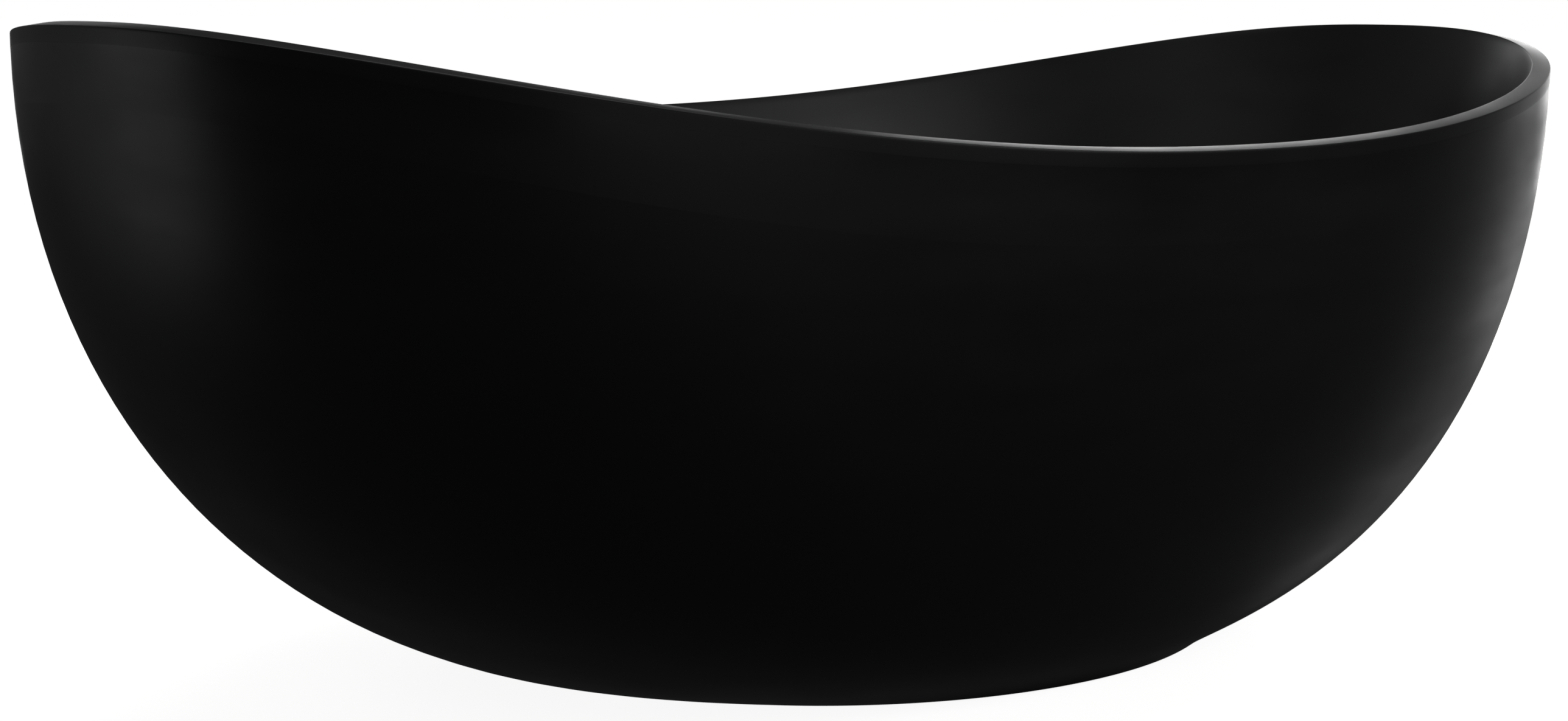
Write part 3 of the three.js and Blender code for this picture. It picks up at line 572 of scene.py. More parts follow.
MATERIALS = {
    "cast_stone": cast_stone_material(),
    # Over polished brass: a cool mirror with fine wiping marks and dried water bloom
    "chrome_brass": finish(
        "chrome plate, polished", ("#d9dcdf", "#e6e8ea"), (9 * MM, 0, 1, 4),
        (14 * MM, 0.05, 0.14, 5), (1.2 * MM, 0, 1, 2, (0.15, 1, 1)), 0.002 * MM, metallic=1.0,
    ),
    # A dull blue-grey metal with soft patches and a fine pickled grain
    "zinc_steel": finish(
        "mild steel, bright zinc plated", ("#a4abb0", "#c6ccd0"), (22 * MM, 0, 1, 3),
        (7 * MM, 0.28, 0.48, 4), (0.9 * MM, 0, 1), 0.03 * MM, metallic=1.0,
    ),
    # As it leaves the lathe, a warm yellow with a little tarnish. Tool marks 0.1 mm apart are drawn at 0.5 mm
    "brass": finish(
        "free-cutting brass, turned", ("#b98f47", "#d8b36a"), (5 * MM, 0, 1, 4),
        (3 * MM, 0.2, 0.38), (0.5 * MM, 0, 1, 0, (0.02, 0.02, 1)), 0.01 * MM, metallic=1.0,
    ),
    # Almost no gloss, a fine dry skin and pale dusting where it has been handled
    "rubber": finish(
        "EPDM rubber, moulded", ("#1c1c1d", "#2b2b2c"), (8 * MM, 0, 1, 4),
        (4 * MM, 0.7, 0.9), (0.7 * MM, 0, 1), 0.03 * MM, ior=1.52,
    ),
    # A soft, slightly waxy white with a faint orange peel and a warmer tint in places
    "pipe_plastic": finish(
        "polypropylene, moulded white", ("#dddcd6", "#e9e9e5"), (30 * MM, 0, 1, 3),
        (12 * MM, 0.32, 0.46, 3), (2.2 * MM, 0, 1), 0.03 * MM, ior=1.49,
    ),
    # Charcoal black, evenly dull, with a fine pebbled skin
    "foot_plastic": finish(
        "glass-filled nylon, spark-eroded black", ("#1a1b1c", "#242527"), (6 * MM, 0, 1, 5),
        (9 * MM, 0.5, 0.66), (0.8 * MM, 0, 1), 0.05 * MM, ior=1.53,
    ),
    # Bright, with draw marks along it
    "spring_steel": finish(
        "stainless spring steel, cold drawn", ("#b9bbbc", "#cfd1d2"), (6 * MM, 0, 1, 3),
        (4 * MM, 0.18, 0.32), (0.8 * MM, 0, 1, 2, (1, 0.1, 1)), 0.01 * MM, metallic=1.0,
    ),
}


# ---- the overflow's frame: Z into the tub square to the back wall, Y up the wall --------

SLOT_SHARE = share_at(lambda t: wall_point(BASIN, t, BACK).z, MIDDLE_HEIGHT - OVERFLOW_DROP)
SLOT_POINT = wall_point(BASIN, SLOT_SHARE, BACK)
INTO_TUB = (offset_point(BASIN, SLOT_SHARE, BACK, -1 * MM) - SLOT_POINT).normalized()
UP_WALL = INTO_TUB.cross(Vector((1, 0, 0))).normalized()
OVERFLOW = Matrix((Vector((1, 0, 0)), UP_WALL, INTO_TUB)).transposed().to_4x4()
OVERFLOW.translation = SLOT_POINT

# Levels on its Z axis, and on its Y axis the top of the hose
TRIM_LOW = 1.0 * MM
TRIM_HIGH = 4.0 * MM
FRONT_GASKET_LOW = -0.7 * MM
REAR_GASKET_LOW = -10.7 * MM
GASKET_THICKNESS = 1.4 * MM
BOX_FRONT = -11.0 * MM
BOX_BACK = -33.2 * MM
SPIGOT_DEPTH = -23.6 * MM
HOSE_TOP = -15.5 * MM

# The barbed spigots that the hose is pushed over
SPIGOT_OUTER = 7.7 * MM
SPIGOT_WALL = 2 * MM
BARBS = 4
BARB_STEP = 4.4 * MM
BARBED_LENGTH = 18 * MM


def round_cutter(radius, low, high, x=0.0, y=0.0):
    bm = lathe([(0, low), (radius, low), (radius, high), (0, high)], sides=ROD_ROUND)
    return moved(bm, Vector((x, y, 0)))


def at_screws(make):
    """What a function makes, at each of the two overflow screws."""
    return [make(x) for x in (-SCREW_REACH, SCREW_REACH)]


# ---- the castings --------


def make_basin():
    through = BASIN_WALL + 2 * MM
    skim = 1 * MM
    seats = [
        (grown(TRIM, SEAT_MARGIN), -skim, through),
        (grown(BOX, SEAT_MARGIN), -through, skim - BASIN_WALL),
        (grown(SLOT, SEAT_MARGIN), -through, through),
    ]
    cutters = [moved(stadium_stack([(size, low), (size, high)]), OVERFLOW) for size, low, high in seats]
    screw_hole = SCREW_RADIUS + 2 * GAP
    cutters += at_screws(lambda x: moved(round_cutter(screw_hole, -through, through, x), OVERFLOW))
    for number in CORNERS:
        node = f"rail_insert_{number}"
        low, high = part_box(node)
        middle = centre_of(node)
        cutters.append(round_cutter(radius_of(node) + GAP, low.z - MM, high.z + GAP, middle.x, middle.y))
    stand_for("basin_shell", carved(swept_round(basin_section), *cutters), "tub_basin")


def make_castings():
    make_basin()
    stand_for("outer_skirt_shell", swept_round(skirt_section), "tub_skirt")


# ---- rails and feet --------

CORNERS = (1, 2, 3, 4)
RAIL_WALL = 3 * MM
INNER_BEND = 1.5 * MM
OUTER_BEND = 4.5 * MM
BOLT_RADIUS = 4 * MM
BOLT_PITCH = 1.25 * MM
BOLT_HEAD = 5 * MM
INSERT_BORE = 4.3 * MM
KNURL_DEPTH = 0.05
STUD_RADIUS = 6 * MM
STUD_PITCH = 1.75 * MM
PAD_RIBS = 8


def make_rail(node):
    """A rolled channel, open downwards, with round bends."""
    low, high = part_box(node)
    middle = centre_of(node)
    bm = bmesh.new()
    corners = [(low.x, low.z), (low.x, high.z), (high.x, high.z), (high.x, low.z)]
    inner = []
    for x, z in reversed(corners):
        inner.append((x + math.copysign(RAIL_WALL, middle.x - x), z if z == low.z else z - RAIL_WALL))
    face = bm.faces.new([bm.verts.new((x, low.y, z)) for x, z in corners + inner])
    far_end = bmesh.ops.extrude_face_region(bm, geom=[face])["geom"]
    far_end = [item for item in far_end if isinstance(item, bmesh.types.BMVert)]
    bmesh.ops.translate(bm, vec=(0, high.y - low.y, 0), verts=far_end)
    bmesh.ops.recalc_face_normals(bm, faces=bm.faces)
    bends = []
    for edge in bm.edges:
        start, end = (vertex.co for vertex in edge.verts)
        if abs(start.y - end.y) > RAIL_WALL and start.z > low.z:
            bends.append(edge)
    outside = [edge for edge in bends if edge.verts[0].co.z > high.z - RAIL_WALL / 2]
    inside = [edge for edge in bends if edge not in outside]
    bmesh.ops.bevel(bm, geom=inside, offset=INNER_BEND, segments=4, **BEVEL)
    outside = [edge for edge in outside if edge.is_valid]
    bmesh.ops.bevel(bm, geom=outside, offset=OUTER_BEND, segments=6, **BEVEL)
    return soften(bm, 0.35 * MM, degrees=60)


def make_bolt(number):
    """A hexagon bolt whose head has a shallow round recess in its face."""
    node = f"rail_bolt_{number}"
    low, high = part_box(node)
    under_head = low.z + BOLT_HEAD
    recess = round_cutter(3.6 * MM, low.z - MM, low.z + 0.8 * MM)
    head = carved(hexagon(radius_of(node), low.z, under_head), recess)
    shank = threaded_rod(BOLT_RADIUS, under_head - MM, high.z, BOLT_PITCH, 0.5 * MM, 0.6 * MM)
    stand_for(node, moved(joined(head, shank), under_middle(node)), f"rail_screw_{number}")


def make_insert(number):
    """A knurled brass bush: its knurl is raised by pushing every other line of points inwards."""
    node = f"rail_insert_{number}"
    low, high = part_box(node)
    outer = radius_of(node)
    skin = [(outer, level) for level in steps(8, low.z, high.z)]
    bm = lathe([(INSERT_BORE, low.z), *skin, (INSERT_BORE, high.z)], sides=SMALL_ROUND)
    for vertex in bm.verts:
        line = round(math.atan2(vertex.co.y, vertex.co.x) / TURN * SMALL_ROUND)
        if out_of(vertex) > INSERT_BORE + GAP and line % 2:
            push_out(vertex, -KNURL_DEPTH * out_of(vertex))
    stand_for(node, moved(bm, under_middle(node)), f"cast_in_bush_{number}", 70)


def make_pad(node, name):
    """A moulded pad: a flat tread, a waisted neck with a socket for the stud, and ribs between them."""
    wide = radius_of(node)
    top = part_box(node)[1].z
    bore, socket = STUD_RADIUS + GAP, 8 * MM
    tread = [(wide - 1 * MM, 0), (wide, 0.8 * MM), (wide, 3.4 * MM), (wide - 1.4 * MM, 4.4 * MM)]
    neck = [(0.7 * wide, 6.4 * MM), (0.5 * wide, 9.6 * MM), (0.43 * wide, top - 0.6 * MM), (0.41 * wide, top)]
    profile = [(0, 0), *tread, *neck, (bore, top), (bore, socket), (0, socket)]
    rib_size, rib_middle = (0.45 * wide, 1.8 * MM, 5 * MM), (0.6 * wide, 0, 5.6 * MM)
    ribs = [moved(block(rib_size, rib_middle, 0.5 * MM), turned(i, PAD_RIBS)) for i in range(PAD_RIBS)]
    stand_for(node, moved(joined(soften(lathe(profile), 0.3 * MM), *ribs), under_middle(node)), name)


def make_foot(number):
    pad, stud = f"foot_pad_{number}", f"foot_stud_{number}"
    place = under_middle(pad)
    make_pad(pad, f"levelling_pad_{number}")
    low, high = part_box(stud)
    rod = threaded_rod(STUD_RADIUS, low.z, high.z, STUD_PITCH, 0.85 * MM, 0.9 * MM)
    flats_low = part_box(pad)[1].z + GAP
    flats = hexagon(radius_of(stud), flats_low, flats_low + 6 * MM)
    stand_for(stud, moved(joined(rod, flats), place), f"levelling_stud_{number}")
    nuts = {f"rail_nut_{number}": f"welded_rail_nut_{number}", f"foot_lock_nut_{number}": f"locking_nut_{number}"}
    for node, name in nuts.items():
        low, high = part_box(node)
        body = hexagon(radius_of(node), low.z, high.z, STUD_RADIUS + GAP, 0.9 * MM)
        stand_for(node, moved(body, place), name)


def make_supports():
    stand_for("support_rail_left", make_rail("support_rail_left"), "channel_left")
    stand_for("support_rail_right", make_rail("support_rail_right"), "channel_right")
    for number in CORNERS:
        make_bolt(number)
        make_insert(number)
        make_foot(number)


# ---- waste --------

SPIGOT_RADIUS = 23.9 * MM
SPIGOT_BORE = 20.5 * MM
HOSE_LEVEL = 56 * MM
HUB_RADIUS = 11 * MM
HUB_LEVELS = (78 * MM, 90 * MM)
HUB_BARS = 3
LATCH_BORE = 4.3 * MM
CUP_RADIUS = 27.2 * MM
GUSSETS = 8
PIPE_BORE = 20.3 * MM
NUT_SKIN = 28.3 * MM
NUT_LOBES = 8


def make_flange():
    """A dished flange and its spigot, with a hub for the latch held on three bars."""
    low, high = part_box("drain_flange")
    wide, under = radius_of("drain_flange"), high.z - FLANGE_SEAT_DEPTH
    dish_depth, lip = 1.4 * MM, 3 * MM
    dish = high.z - dish_depth
    cone = dish - (SPIGOT_RADIUS - SPIGOT_BORE)
    dish_width = wide - lip - SPIGOT_RADIUS
    curve = [(SPIGOT_RADIUS + dish_width * t, dish + dish_depth * t * t) for t in steps(6, 1, 0)]
    spigot = [(SPIGOT_BORE, low.z), (SPIGOT_RADIUS, low.z), (SPIGOT_RADIUS, under)]
    edge = [(wide, high.z - 1.6 * MM), (wide - 0.5 * MM, high.z - 0.6 * MM), (wide - 1.6 * MM, high.z)]
    shell = soften(lathe([*spigot, (wide, under), *edge, *curve, (SPIGOT_BORE, cone)], sides=96), 0.3 * MM)
    bore = radius_of("latch_sleeve") + GAP
    hub_low, hub_high = HUB_LEVELS
    hub = lathe([(bore, hub_low), (HUB_RADIUS, hub_low), (HUB_RADIUS, hub_high), (bore, hub_high)])
    bar_size = (SPIGOT_BORE - HUB_RADIUS + 2 * MM, 4 * MM, 8 * MM)
    bar_middle = ((SPIGOT_BORE + HUB_RADIUS) / 2, 0, (hub_low + hub_high) / 2)
    bars = [moved(block(bar_size, bar_middle, 0.8 * MM), turned(i + 0.5, HUB_BARS)) for i in range(HUB_BARS)]
    stand_for("drain_flange", joined(shell, soften(hub, 0.6 * MM), *bars), "waste_flange")


def make_cap():
    """A low domed cap with a rolled edge and a short socket for the stem."""
    low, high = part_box("plug_cap")
    wide, under = radius_of("plug_cap"), low.z + 5.3 * MM
    socket, collar, roof = 4.3 * MM, 7.3 * MM, under - 0.3 * MM
    crown, edge = 2.2 * MM, wide - 1.2 * MM
    dome = [(edge * t, high.z - crown * t * t) for t in steps(12, 1, 0)]
    inside = [(0, roof), (socket, roof), (socket, low.z), (collar, low.z), (collar, under)]
    rolled = [(wide - 1 * MM, under), (wide - 0.2 * MM, under + 0.5 * MM)]
    rolled += [(wide, under + 1.2 * MM), (wide - 0.25 * MM, under + 2.2 * MM)]
    stand_for("plug_cap", lathe([*inside, *rolled, *dome], sides=128), "plug_dome", 50)


def make_seal():
    """A flat rubber ring with a lip that leans out to the flange."""
    low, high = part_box("plug_seal")
    wide = radius_of("plug_seal")
    bore = wide - 4 * MM
    lip = [(wide - 0.4 * MM, low.z + 0.5 * MM), (wide, low.z + 1.3 * MM), (wide - 0.5 * MM, high.z)]
    profile = [(bore, low.z), (wide - 1.6 * MM, low.z), *lip, (bore, high.z)]
    stand_for("plug_seal", soften(lathe(profile), 0.15 * MM), "plug_lip_seal")


def make_stem():
    """The stem that the latch holds by a groove near its foot."""
    low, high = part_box("plug_stem")
    radius = radius_of("plug_stem")
    groove, waist, depth = low.z + 5 * MM, 2 * MM, 0.7 * MM
    foot = [(0, low.z), (radius - 0.8 * MM, low.z), (radius, low.z + 0.8 * MM), (radius, groove)]
    narrow = [(radius - depth, groove + depth), (radius - depth, groove + waist), (radius, groove + waist + depth)]
    head = [(radius, high.z - 0.4 * MM), (radius - 0.4 * MM, high.z), (0, high.z)]
    stand_for("plug_stem", lathe([*foot, *narrow, *head], sides=SMALL_ROUND), "plug_latch_stem")


def make_sleeve():
    """The threaded barrel that the stem latches in."""
    low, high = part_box("latch_sleeve")
    radius, bevel, bottom = radius_of("latch_sleeve"), 0.5 * MM, low.z + 3 * MM
    shank = [(radius, level) for level in steps(160, low.z + bevel, high.z - bevel)]
    profile = [(0, low.z), (radius - bevel, low.z), *shank, (radius - bevel, high.z)]
    profile += [(LATCH_BORE, high.z), (LATCH_BORE, bottom), (0, bottom)]
    bm = thread(lathe(profile, sides=36), low.z, high.z - 6 * MM, radius, 1 * MM, 0.45 * MM)
    stand_for("latch_sleeve", bm, "latch_barrel")


def make_ring(node, name, bore, ribs=0):
    """A flat gasket with soft edges and, where ribs are asked for, round sealing ribs on both faces."""
    low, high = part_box(node)
    outer = radius_of(node)
    top = [(outer - (outer - bore) * t, high.z) for t in steps(4 * ribs or 1, 0, 1)]
    bottom = [(radius, low.z) for radius, _ in reversed(top)]
    depth = 0.5 * MM
    for i in range(1, 4 * ribs, 2):
        top[i] = (top[i][0], high.z - depth)
        bottom[i] = (bottom[i][0], low.z + depth)
    stand_for(node, soften(lathe(bottom + top), 0.12 * MM, degrees=60), name, 50)


def make_drain_body():
    """The cup under the tub: flange with gussets, cup, neck, and a barbed spigot for the overflow hose."""
    low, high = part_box("drain_body")
    wide, bore, neck = (high.x - low.x) / 2, SPIGOT_RADIUS + GAP, SPIGOT_RADIUS
    flange, shelf = high.z - 5 * MM, low.z + 18 * MM
    outside = [(PIPE_BORE, low.z), (neck, low.z), (neck, shelf), (CUP_RADIUS, shelf + 1.5 * MM)]
    outside += [(CUP_RADIUS, flange), (wide, flange), (wide, high.z)]
    shell = soften(lathe([*outside, (bore, high.z), (bore, shelf + 3 * MM), (PIPE_BORE, shelf)]), 0.4 * MM)
    gusset_size = (wide - CUP_RADIUS, 2 * MM, 14 * MM)
    gusset_middle = ((wide + CUP_RADIUS) / 2 - MM, 0, flange - 6 * MM)
    gussets = []
    for i in range(GUSSETS):
        gussets.append(moved(block(gusset_size, gusset_middle, 0.6 * MM), turned(i + 0.5, GUSSETS)))
    reach, near, barb = high.y, CUP_RADIUS - 2 * MM, 0.7 * MM
    barbs = [(SPIGOT_OUTER - barb, near)]
    for i in range(BARBS):
        start = reach - BARBED_LENGTH + i * BARB_STEP
        barbs += [(SPIGOT_OUTER, start), (SPIGOT_OUTER - barb, start + BARB_STEP - 0.2 * MM)]
    inner = SPIGOT_OUTER - SPIGOT_WALL
    spigot = lathe([(inner, near), *barbs, (SPIGOT_OUTER - 1.2 * MM, reach), (inner, reach)], sides=SMALL_ROUND)
    sideways = Matrix.Translation((0, 0, HOSE_LEVEL)) @ Matrix.Rotation(-math.pi / 2, 4, "X")
    stand_for("drain_body", joined(shell, moved(spigot, sideways), *gussets), "waste_body", 50)


def make_outlet_nut():
    """A hand nut with eight round lobes to grip."""
    low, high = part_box("outlet_nut")
    wide, bore = radius_of("outlet_nut"), CUP_RADIUS - 3 * MM
    lip, bevel = low.z + 3.5 * MM, 1.5 * MM
    skin = [(NUT_SKIN, level) for level in steps(6, low.z + bevel, high.z - bevel)]
    profile = [(PIPE_BORE, low.z), (NUT_SKIN - bevel, low.z), *skin, (NUT_SKIN - bevel, high.z)]
    profile += [(bore, high.z), (bore, lip), (PIPE_BORE, lip)]
    bm = lathe(profile, sides=96)
    for vertex in bm.verts:
        if out_of(vertex) > NUT_SKIN - 0.1 * MM:
            wave = math.cos(NUT_LOBES * math.atan2(vertex.co.x, vertex.co.y))
            push_out(vertex, (wide - NUT_SKIN) * max(0.0, wave) ** 2)
    stand_for("outlet_nut", bm, "compression_nut", 50)


def make_tail_pipe():
    low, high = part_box("outlet_tailpiece")
    wide = radius_of("outlet_tailpiece")
    bore = wide - 2.5 * MM
    profile = [(bore, low.z), (wide, low.z), (wide, high.z), (bore, high.z)]
    stand_for("outlet_tailpiece", soften(lathe(profile), 0.6 * MM), "tail_pipe")


def make_waste():
    make_flange()
    make_cap()
    make_seal()
    make_stem()
    make_sleeve()
    make_ring("drain_upper_gasket", "flange_gasket", HOLE_RADIUS)
    make_ring("drain_lower_gasket", "body_gasket", SPIGOT_RADIUS + GAP, ribs=3)
    make_ring("outlet_washer", "pipe_washer", PIPE_BORE)
    make_drain_body()
    make_outlet_nut()
    make_tail_pipe()
    spring = frame["nodes"]["latch_spring"]
    spring.data.materials.clear()
    spring.data.materials.append(MATERIALS[SLOT_OF["latch_spring"]])


# ---- overflow --------


def make_overflow_trim():
    """A thin plate with a rolled edge, its slot, and a countersunk hole at each end."""
    rolled = [(0, 1.4 * MM), (0.3 * MM, 0.6 * MM), (0.9 * MM, 0.15 * MM), (1.6 * MM, 0)]
    outlines = [(TRIM, TRIM_LOW)]
    outlines += [(grown(TRIM, -inward), TRIM_HIGH - drop) for inward, drop in rolled]
    outlines += [(grown(SLOT, 0.6 * MM), TRIM_HIGH), (grown(SLOT, 0.15 * MM), TRIM_HIGH - 0.2 * MM)]
    outlines += [(SLOT, TRIM_HIGH - 0.6 * MM), (SLOT, TRIM_LOW)]
    shank, head = SCREW_RADIUS + GAP, SCREW_HEAD_RADIUS + GAP
    sink, above = TRIM_HIGH - (head - shank), TRIM_HIGH + MM
    hole = [(0, 0), (shank, 0), (shank, sink), (head, TRIM_HIGH), (head, above), (0, above)]
    holes = at_screws(lambda x: moved(lathe(hole, sides=40), Vector((x, 0, 0))))
    plate = carved(stadium_stack(outlines, closed=True), *holes)
    stand_for("overflow_trim", moved(plate, OVERFLOW), "overflow_plate")


def make_overflow_screw(side, node, name):
    """A countersunk screw with a hexagon socket."""
    high, low = TRIM_HIGH - GAP, BOX_FRONT - 10 * MM
    under_head = high - (SCREW_HEAD_RADIUS - SCREW_RADIUS)
    tip, rim = 0.6 * MM, 0.15 * MM
    shank = [(SCREW_RADIUS, level) for level in steps(110, low + tip, under_head - 0.4 * MM)]
    profile = [(0, low), (SCREW_RADIUS - tip, low), *shank, (SCREW_RADIUS, under_head)]
    profile += [(SCREW_HEAD_RADIUS, high - rim), (SCREW_HEAD_RADIUS - rim, high), (0, high)]
    bm = lathe(profile, sides=ROD_ROUND)
    bm = thread(bm, low, high - 4 * MM, SCREW_RADIUS, 0.7 * MM, 0.3 * MM)
    socket = hexagon(1.5 * MM, high - 1.4 * MM, high + MM, edge=0.05 * MM)
    place = OVERFLOW @ Matrix.Translation((side * SCREW_REACH, 0, 0))
    stand_for(node, moved(carved(bm, socket), place), name)


def make_overflow_gasket(node, name, low):
    high = low + GASKET_THICKNESS
    inner = grown(SLOT, SEAT_MARGIN)
    soft, fine = 0.3 * MM, 0.2 * MM
    outlines = [(grown(TRIM, -soft), low), (TRIM, low + soft), (TRIM, high - soft), (grown(TRIM, -soft), high)]
    outlines += [(grown(inner, fine), high), (inner, high - fine), (inner, low + fine), (grown(inner, fine), low)]
    holes = at_screws(lambda x: round_cutter(SCREW_RADIUS + GAP, low - MM, high + MM, x))
    bm = carved(stadium_stack(outlines, closed=True), *holes)
    stand_for(node, moved(bm, OVERFLOW), name, 50)


def make_overflow_box():
    """The moulded box behind the wall, with its drain spigot pointing down the wall."""
    room = (SLOT[0], BOX[1] - 6 * MM)
    rounded = [(1.5 * MM, 0), (0.4 * MM, 0.5 * MM), (0, 1.6 * MM)]
    outlines = [(grown(BOX, -inward), BOX_BACK + rise) for inward, rise in rounded]
    outlines += [(BOX, BOX_FRONT), (room, BOX_FRONT), (room, BOX_BACK + 2.5 * MM)]
    holes = at_screws(lambda x: round_cutter(SCREW_RADIUS, BOX_FRONT - 12 * MM, BOX_FRONT + MM, x))
    inner, barb = SPIGOT_OUTER - SPIGOT_WALL, 0.6 * MM
    near, far = BOX[1] / 2 - 1 * MM, HOSE_GRIP - HOSE_TOP
    barbs = [(SPIGOT_OUTER - barb, near)]
    for i in range(BARBS):
        end = far - BARBED_LENGTH + i * BARB_STEP + BARB_STEP - 0.2 * MM
        barbs += [(SPIGOT_OUTER, end), (SPIGOT_OUTER - barb, end + 0.1 * MM)]
    profile = [(inner, near), *barbs[:-1], (SPIGOT_OUTER - MM, far), (inner, far)]
    downwards = Matrix.Translation((0, 0, SPIGOT_DEPTH)) @ Matrix.Rotation(math.pi / 2, 4, "X")
    spigot = moved(lathe(profile, sides=SMALL_ROUND), downwards)
    drain = moved(round_cutter(inner, 0, near + 2 * MM), downwards)
    body = joined(carved(stadium_stack(outlines), *holes, drain), spigot)
    stand_for("overflow_box", moved(body, OVERFLOW), "overflow_housing", 50)


def cavity_middle(level):
    """The middle of the space between the castings at a level of the back wall."""
    back = share_at(lambda t: offset_point(BASIN, t, BACK, BASIN_WALL).z, level)
    skin = share_at(lambda t: offset_point(SKIRT, t, BACK, -SKIRT_WALL).z, level)
    near, far = offset_point(BASIN, back, BACK, BASIN_WALL), offset_point(SKIRT, skin, BACK, -SKIRT_WALL)
    return Vector((0, (near.y + far.y) / 2, level))


def hose_points():
    """Where the hose runs: off the box's spigot, down the middle of the cavity and level into the waste."""
    ends = [HOSE_TOP, HOSE_TOP - HOSE_GRIP, HOSE_TOP - 2 * HOSE_GRIP]
    points = [OVERFLOW @ Vector((0, y, SPIGOT_DEPTH)) for y in ends]
    swing, lead, turn = 100 * MM, 40 * MM, 70 * MM
    points += [cavity_middle(level) for level in steps(2, points[2].z - swing, DRAIN_LEVEL + lead)]
    corner = FLOOR_WIDTH / 2 + turn
    spigot_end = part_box("drain_body")[1].y
    points.append(Vector((0, corner, HOSE_LEVEL + turn / 2)))
    for y in (corner - 2 * turn, spigot_end + MM, spigot_end - HOSE_GRIP):
        points.append(Vector((0, y, HOSE_LEVEL)))
    return points


def smooth_path(points, spacing):
    """Evenly spaced places on a centripetal curve through the points."""

    def mix(first, second, t, start, end):
        return first.lerp(second, (t - start) / (end - start))

    places = []
    padded = [points[0] * 2 - points[1], *points, points[-1] * 2 - points[-2]]
    for a, b, c, d in zip(padded, padded[1:], padded[2:], padded[3:]):
        knots = [0.0]
        for near, far in ((a, b), (b, c), (c, d)):
            knots.append(knots[-1] + math.sqrt((far - near).length))
        ka, kb, kc, kd = knots
        count = max(2, round((c - b).length / spacing))
        for t in steps(count, kb, kc)[:-1]:
            ab, bc, cd = mix(a, b, t, ka, kb), mix(b, c, t, kb, kc), mix(c, d, t, kc, kd)
            places.append(mix(mix(ab, bc, t, ka, kc), mix(bc, cd, t, kb, kd), t, kb, kc))
    places.append(points[-1])
    return places


def make_hose():
    """A corrugated drain hose with plain cuffs where it is pushed over the spigots."""
    path = smooth_path(hose_points(), 1.25 * MM)
    along = [0.0]
    for near, far in zip(path, path[1:]):
        along.append(along[-1] + (far - near).length)
    cuff, pitch, half_depth = 1.4 * HOSE_GRIP, 5 * MM, 0.55 * MM
    columns = [[] for _ in range(20)]
    side = Vector((1, 0, 0))
    for i, place in enumerate(path):
        ahead = (path[min(i + 1, len(path) - 1)] - path[max(i - 1, 0)]).normalized()
        up = side.cross(ahead).normalized()
        from_end = min(along[i], along[-1] - along[i])
        dip = 0.0 if from_end < cuff else half_depth * (1 - math.cos(TURN * along[i] / pitch))
        for j, column in enumerate(columns):
            angle = TURN * j / len(columns)
            column.append(place + (side * math.cos(angle) + up * math.sin(angle)) * (HOSE_OUTER - dip))
    stand_for("overflow_hose", swept_rings(columns, closed=False), "overflow_drain_hose", 60)


def make_clip(node, name, place):
    """A worm-drive clip about its own Y axis: band, screw housing and the slots that the worm bites in."""
    bore, band, width, slots = HOSE_OUTER + GAP, 1 * MM, 9 * MM, 14
    outside, half = bore + band, width / 2
    strap = soften(lathe([(bore, -half), (outside, -half), (outside, half), (bore, half)]), 0.25 * MM)
    housing = block((width, half, width - MM), (0, bore + width / 4 + band / 2, 0), 0.8 * MM)
    first, step = math.radians(110), math.radians(10)
    teeth = []
    for i in range(slots):
        tooth = block((0.5 * MM, band, half), (0, outside - band * 0.4, 0))
        teeth.append(moved(tooth, Matrix.Rotation(first + i * step, 4, "Z")))
    whole = moved(joined(strap, housing, *teeth), Matrix.Rotation(-math.pi / 2, 4, "X"))
    stand_for(node, moved(whole, place), name, 40)


def make_overflow():
    make_overflow_trim()
    make_overflow_gasket("overflow_front_gasket", "slot_gasket_front", FRONT_GASKET_LOW)
    make_overflow_gasket("overflow_rear_gasket", "slot_gasket_rear", REAR_GASKET_LOW)
    make_overflow_box()
    make_overflow_screw(-1, "overflow_screw_left", "overflow_machine_screw_left")
    make_overflow_screw(1, "overflow_screw_right", "overflow_machine_screw_right")
    make_hose()
    clip_step = 9 * MM
    upper = OVERFLOW @ Matrix.Translation((0, HOSE_TOP - clip_step, SPIGOT_DEPTH))
    make_clip("hose_clip_top", "hose_band_upper", upper)
    low_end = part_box("drain_body")[1].y - HOSE_GRIP + clip_step
    lower = Matrix.Translation((0, low_end, HOSE_LEVEL)) @ Matrix.Rotation(math.pi / 2, 4, "Y")
    make_clip("hose_clip_bottom", "hose_band_lower", lower)


make_castings()
make_supports()
make_waste()
make_overflow()


# ---- floor, light and camera --------

# The floor's half length, its glow close to the tub and far off, and where the one passes into the other
FLOOR_REACH = 60.0
FLOOR_GLOW_NEAR = 0.92
FLOOR_GLOW_FAR = 1.0
FLOOR_FADE = (1.1, 2.6)
ROOM_LIGHT = 0.03
TUB_MIDDLE = Vector((0, 0, HIGH.z / 2))

# The camera's turn round the tub from its long side, in degrees, and its tilt about its own axis
CAMERA_TURN = -43.3
CAMERA_ROLL = 0.578
CAMERA_DISTANCE = 1.568 * LENGTH
CAMERA_HEIGHT = 0.6563
AIM_SHIFT = -0.0866
AIM_HEIGHT = 0.2786
SENSOR_WIDTH = 36
LENS = 61.93

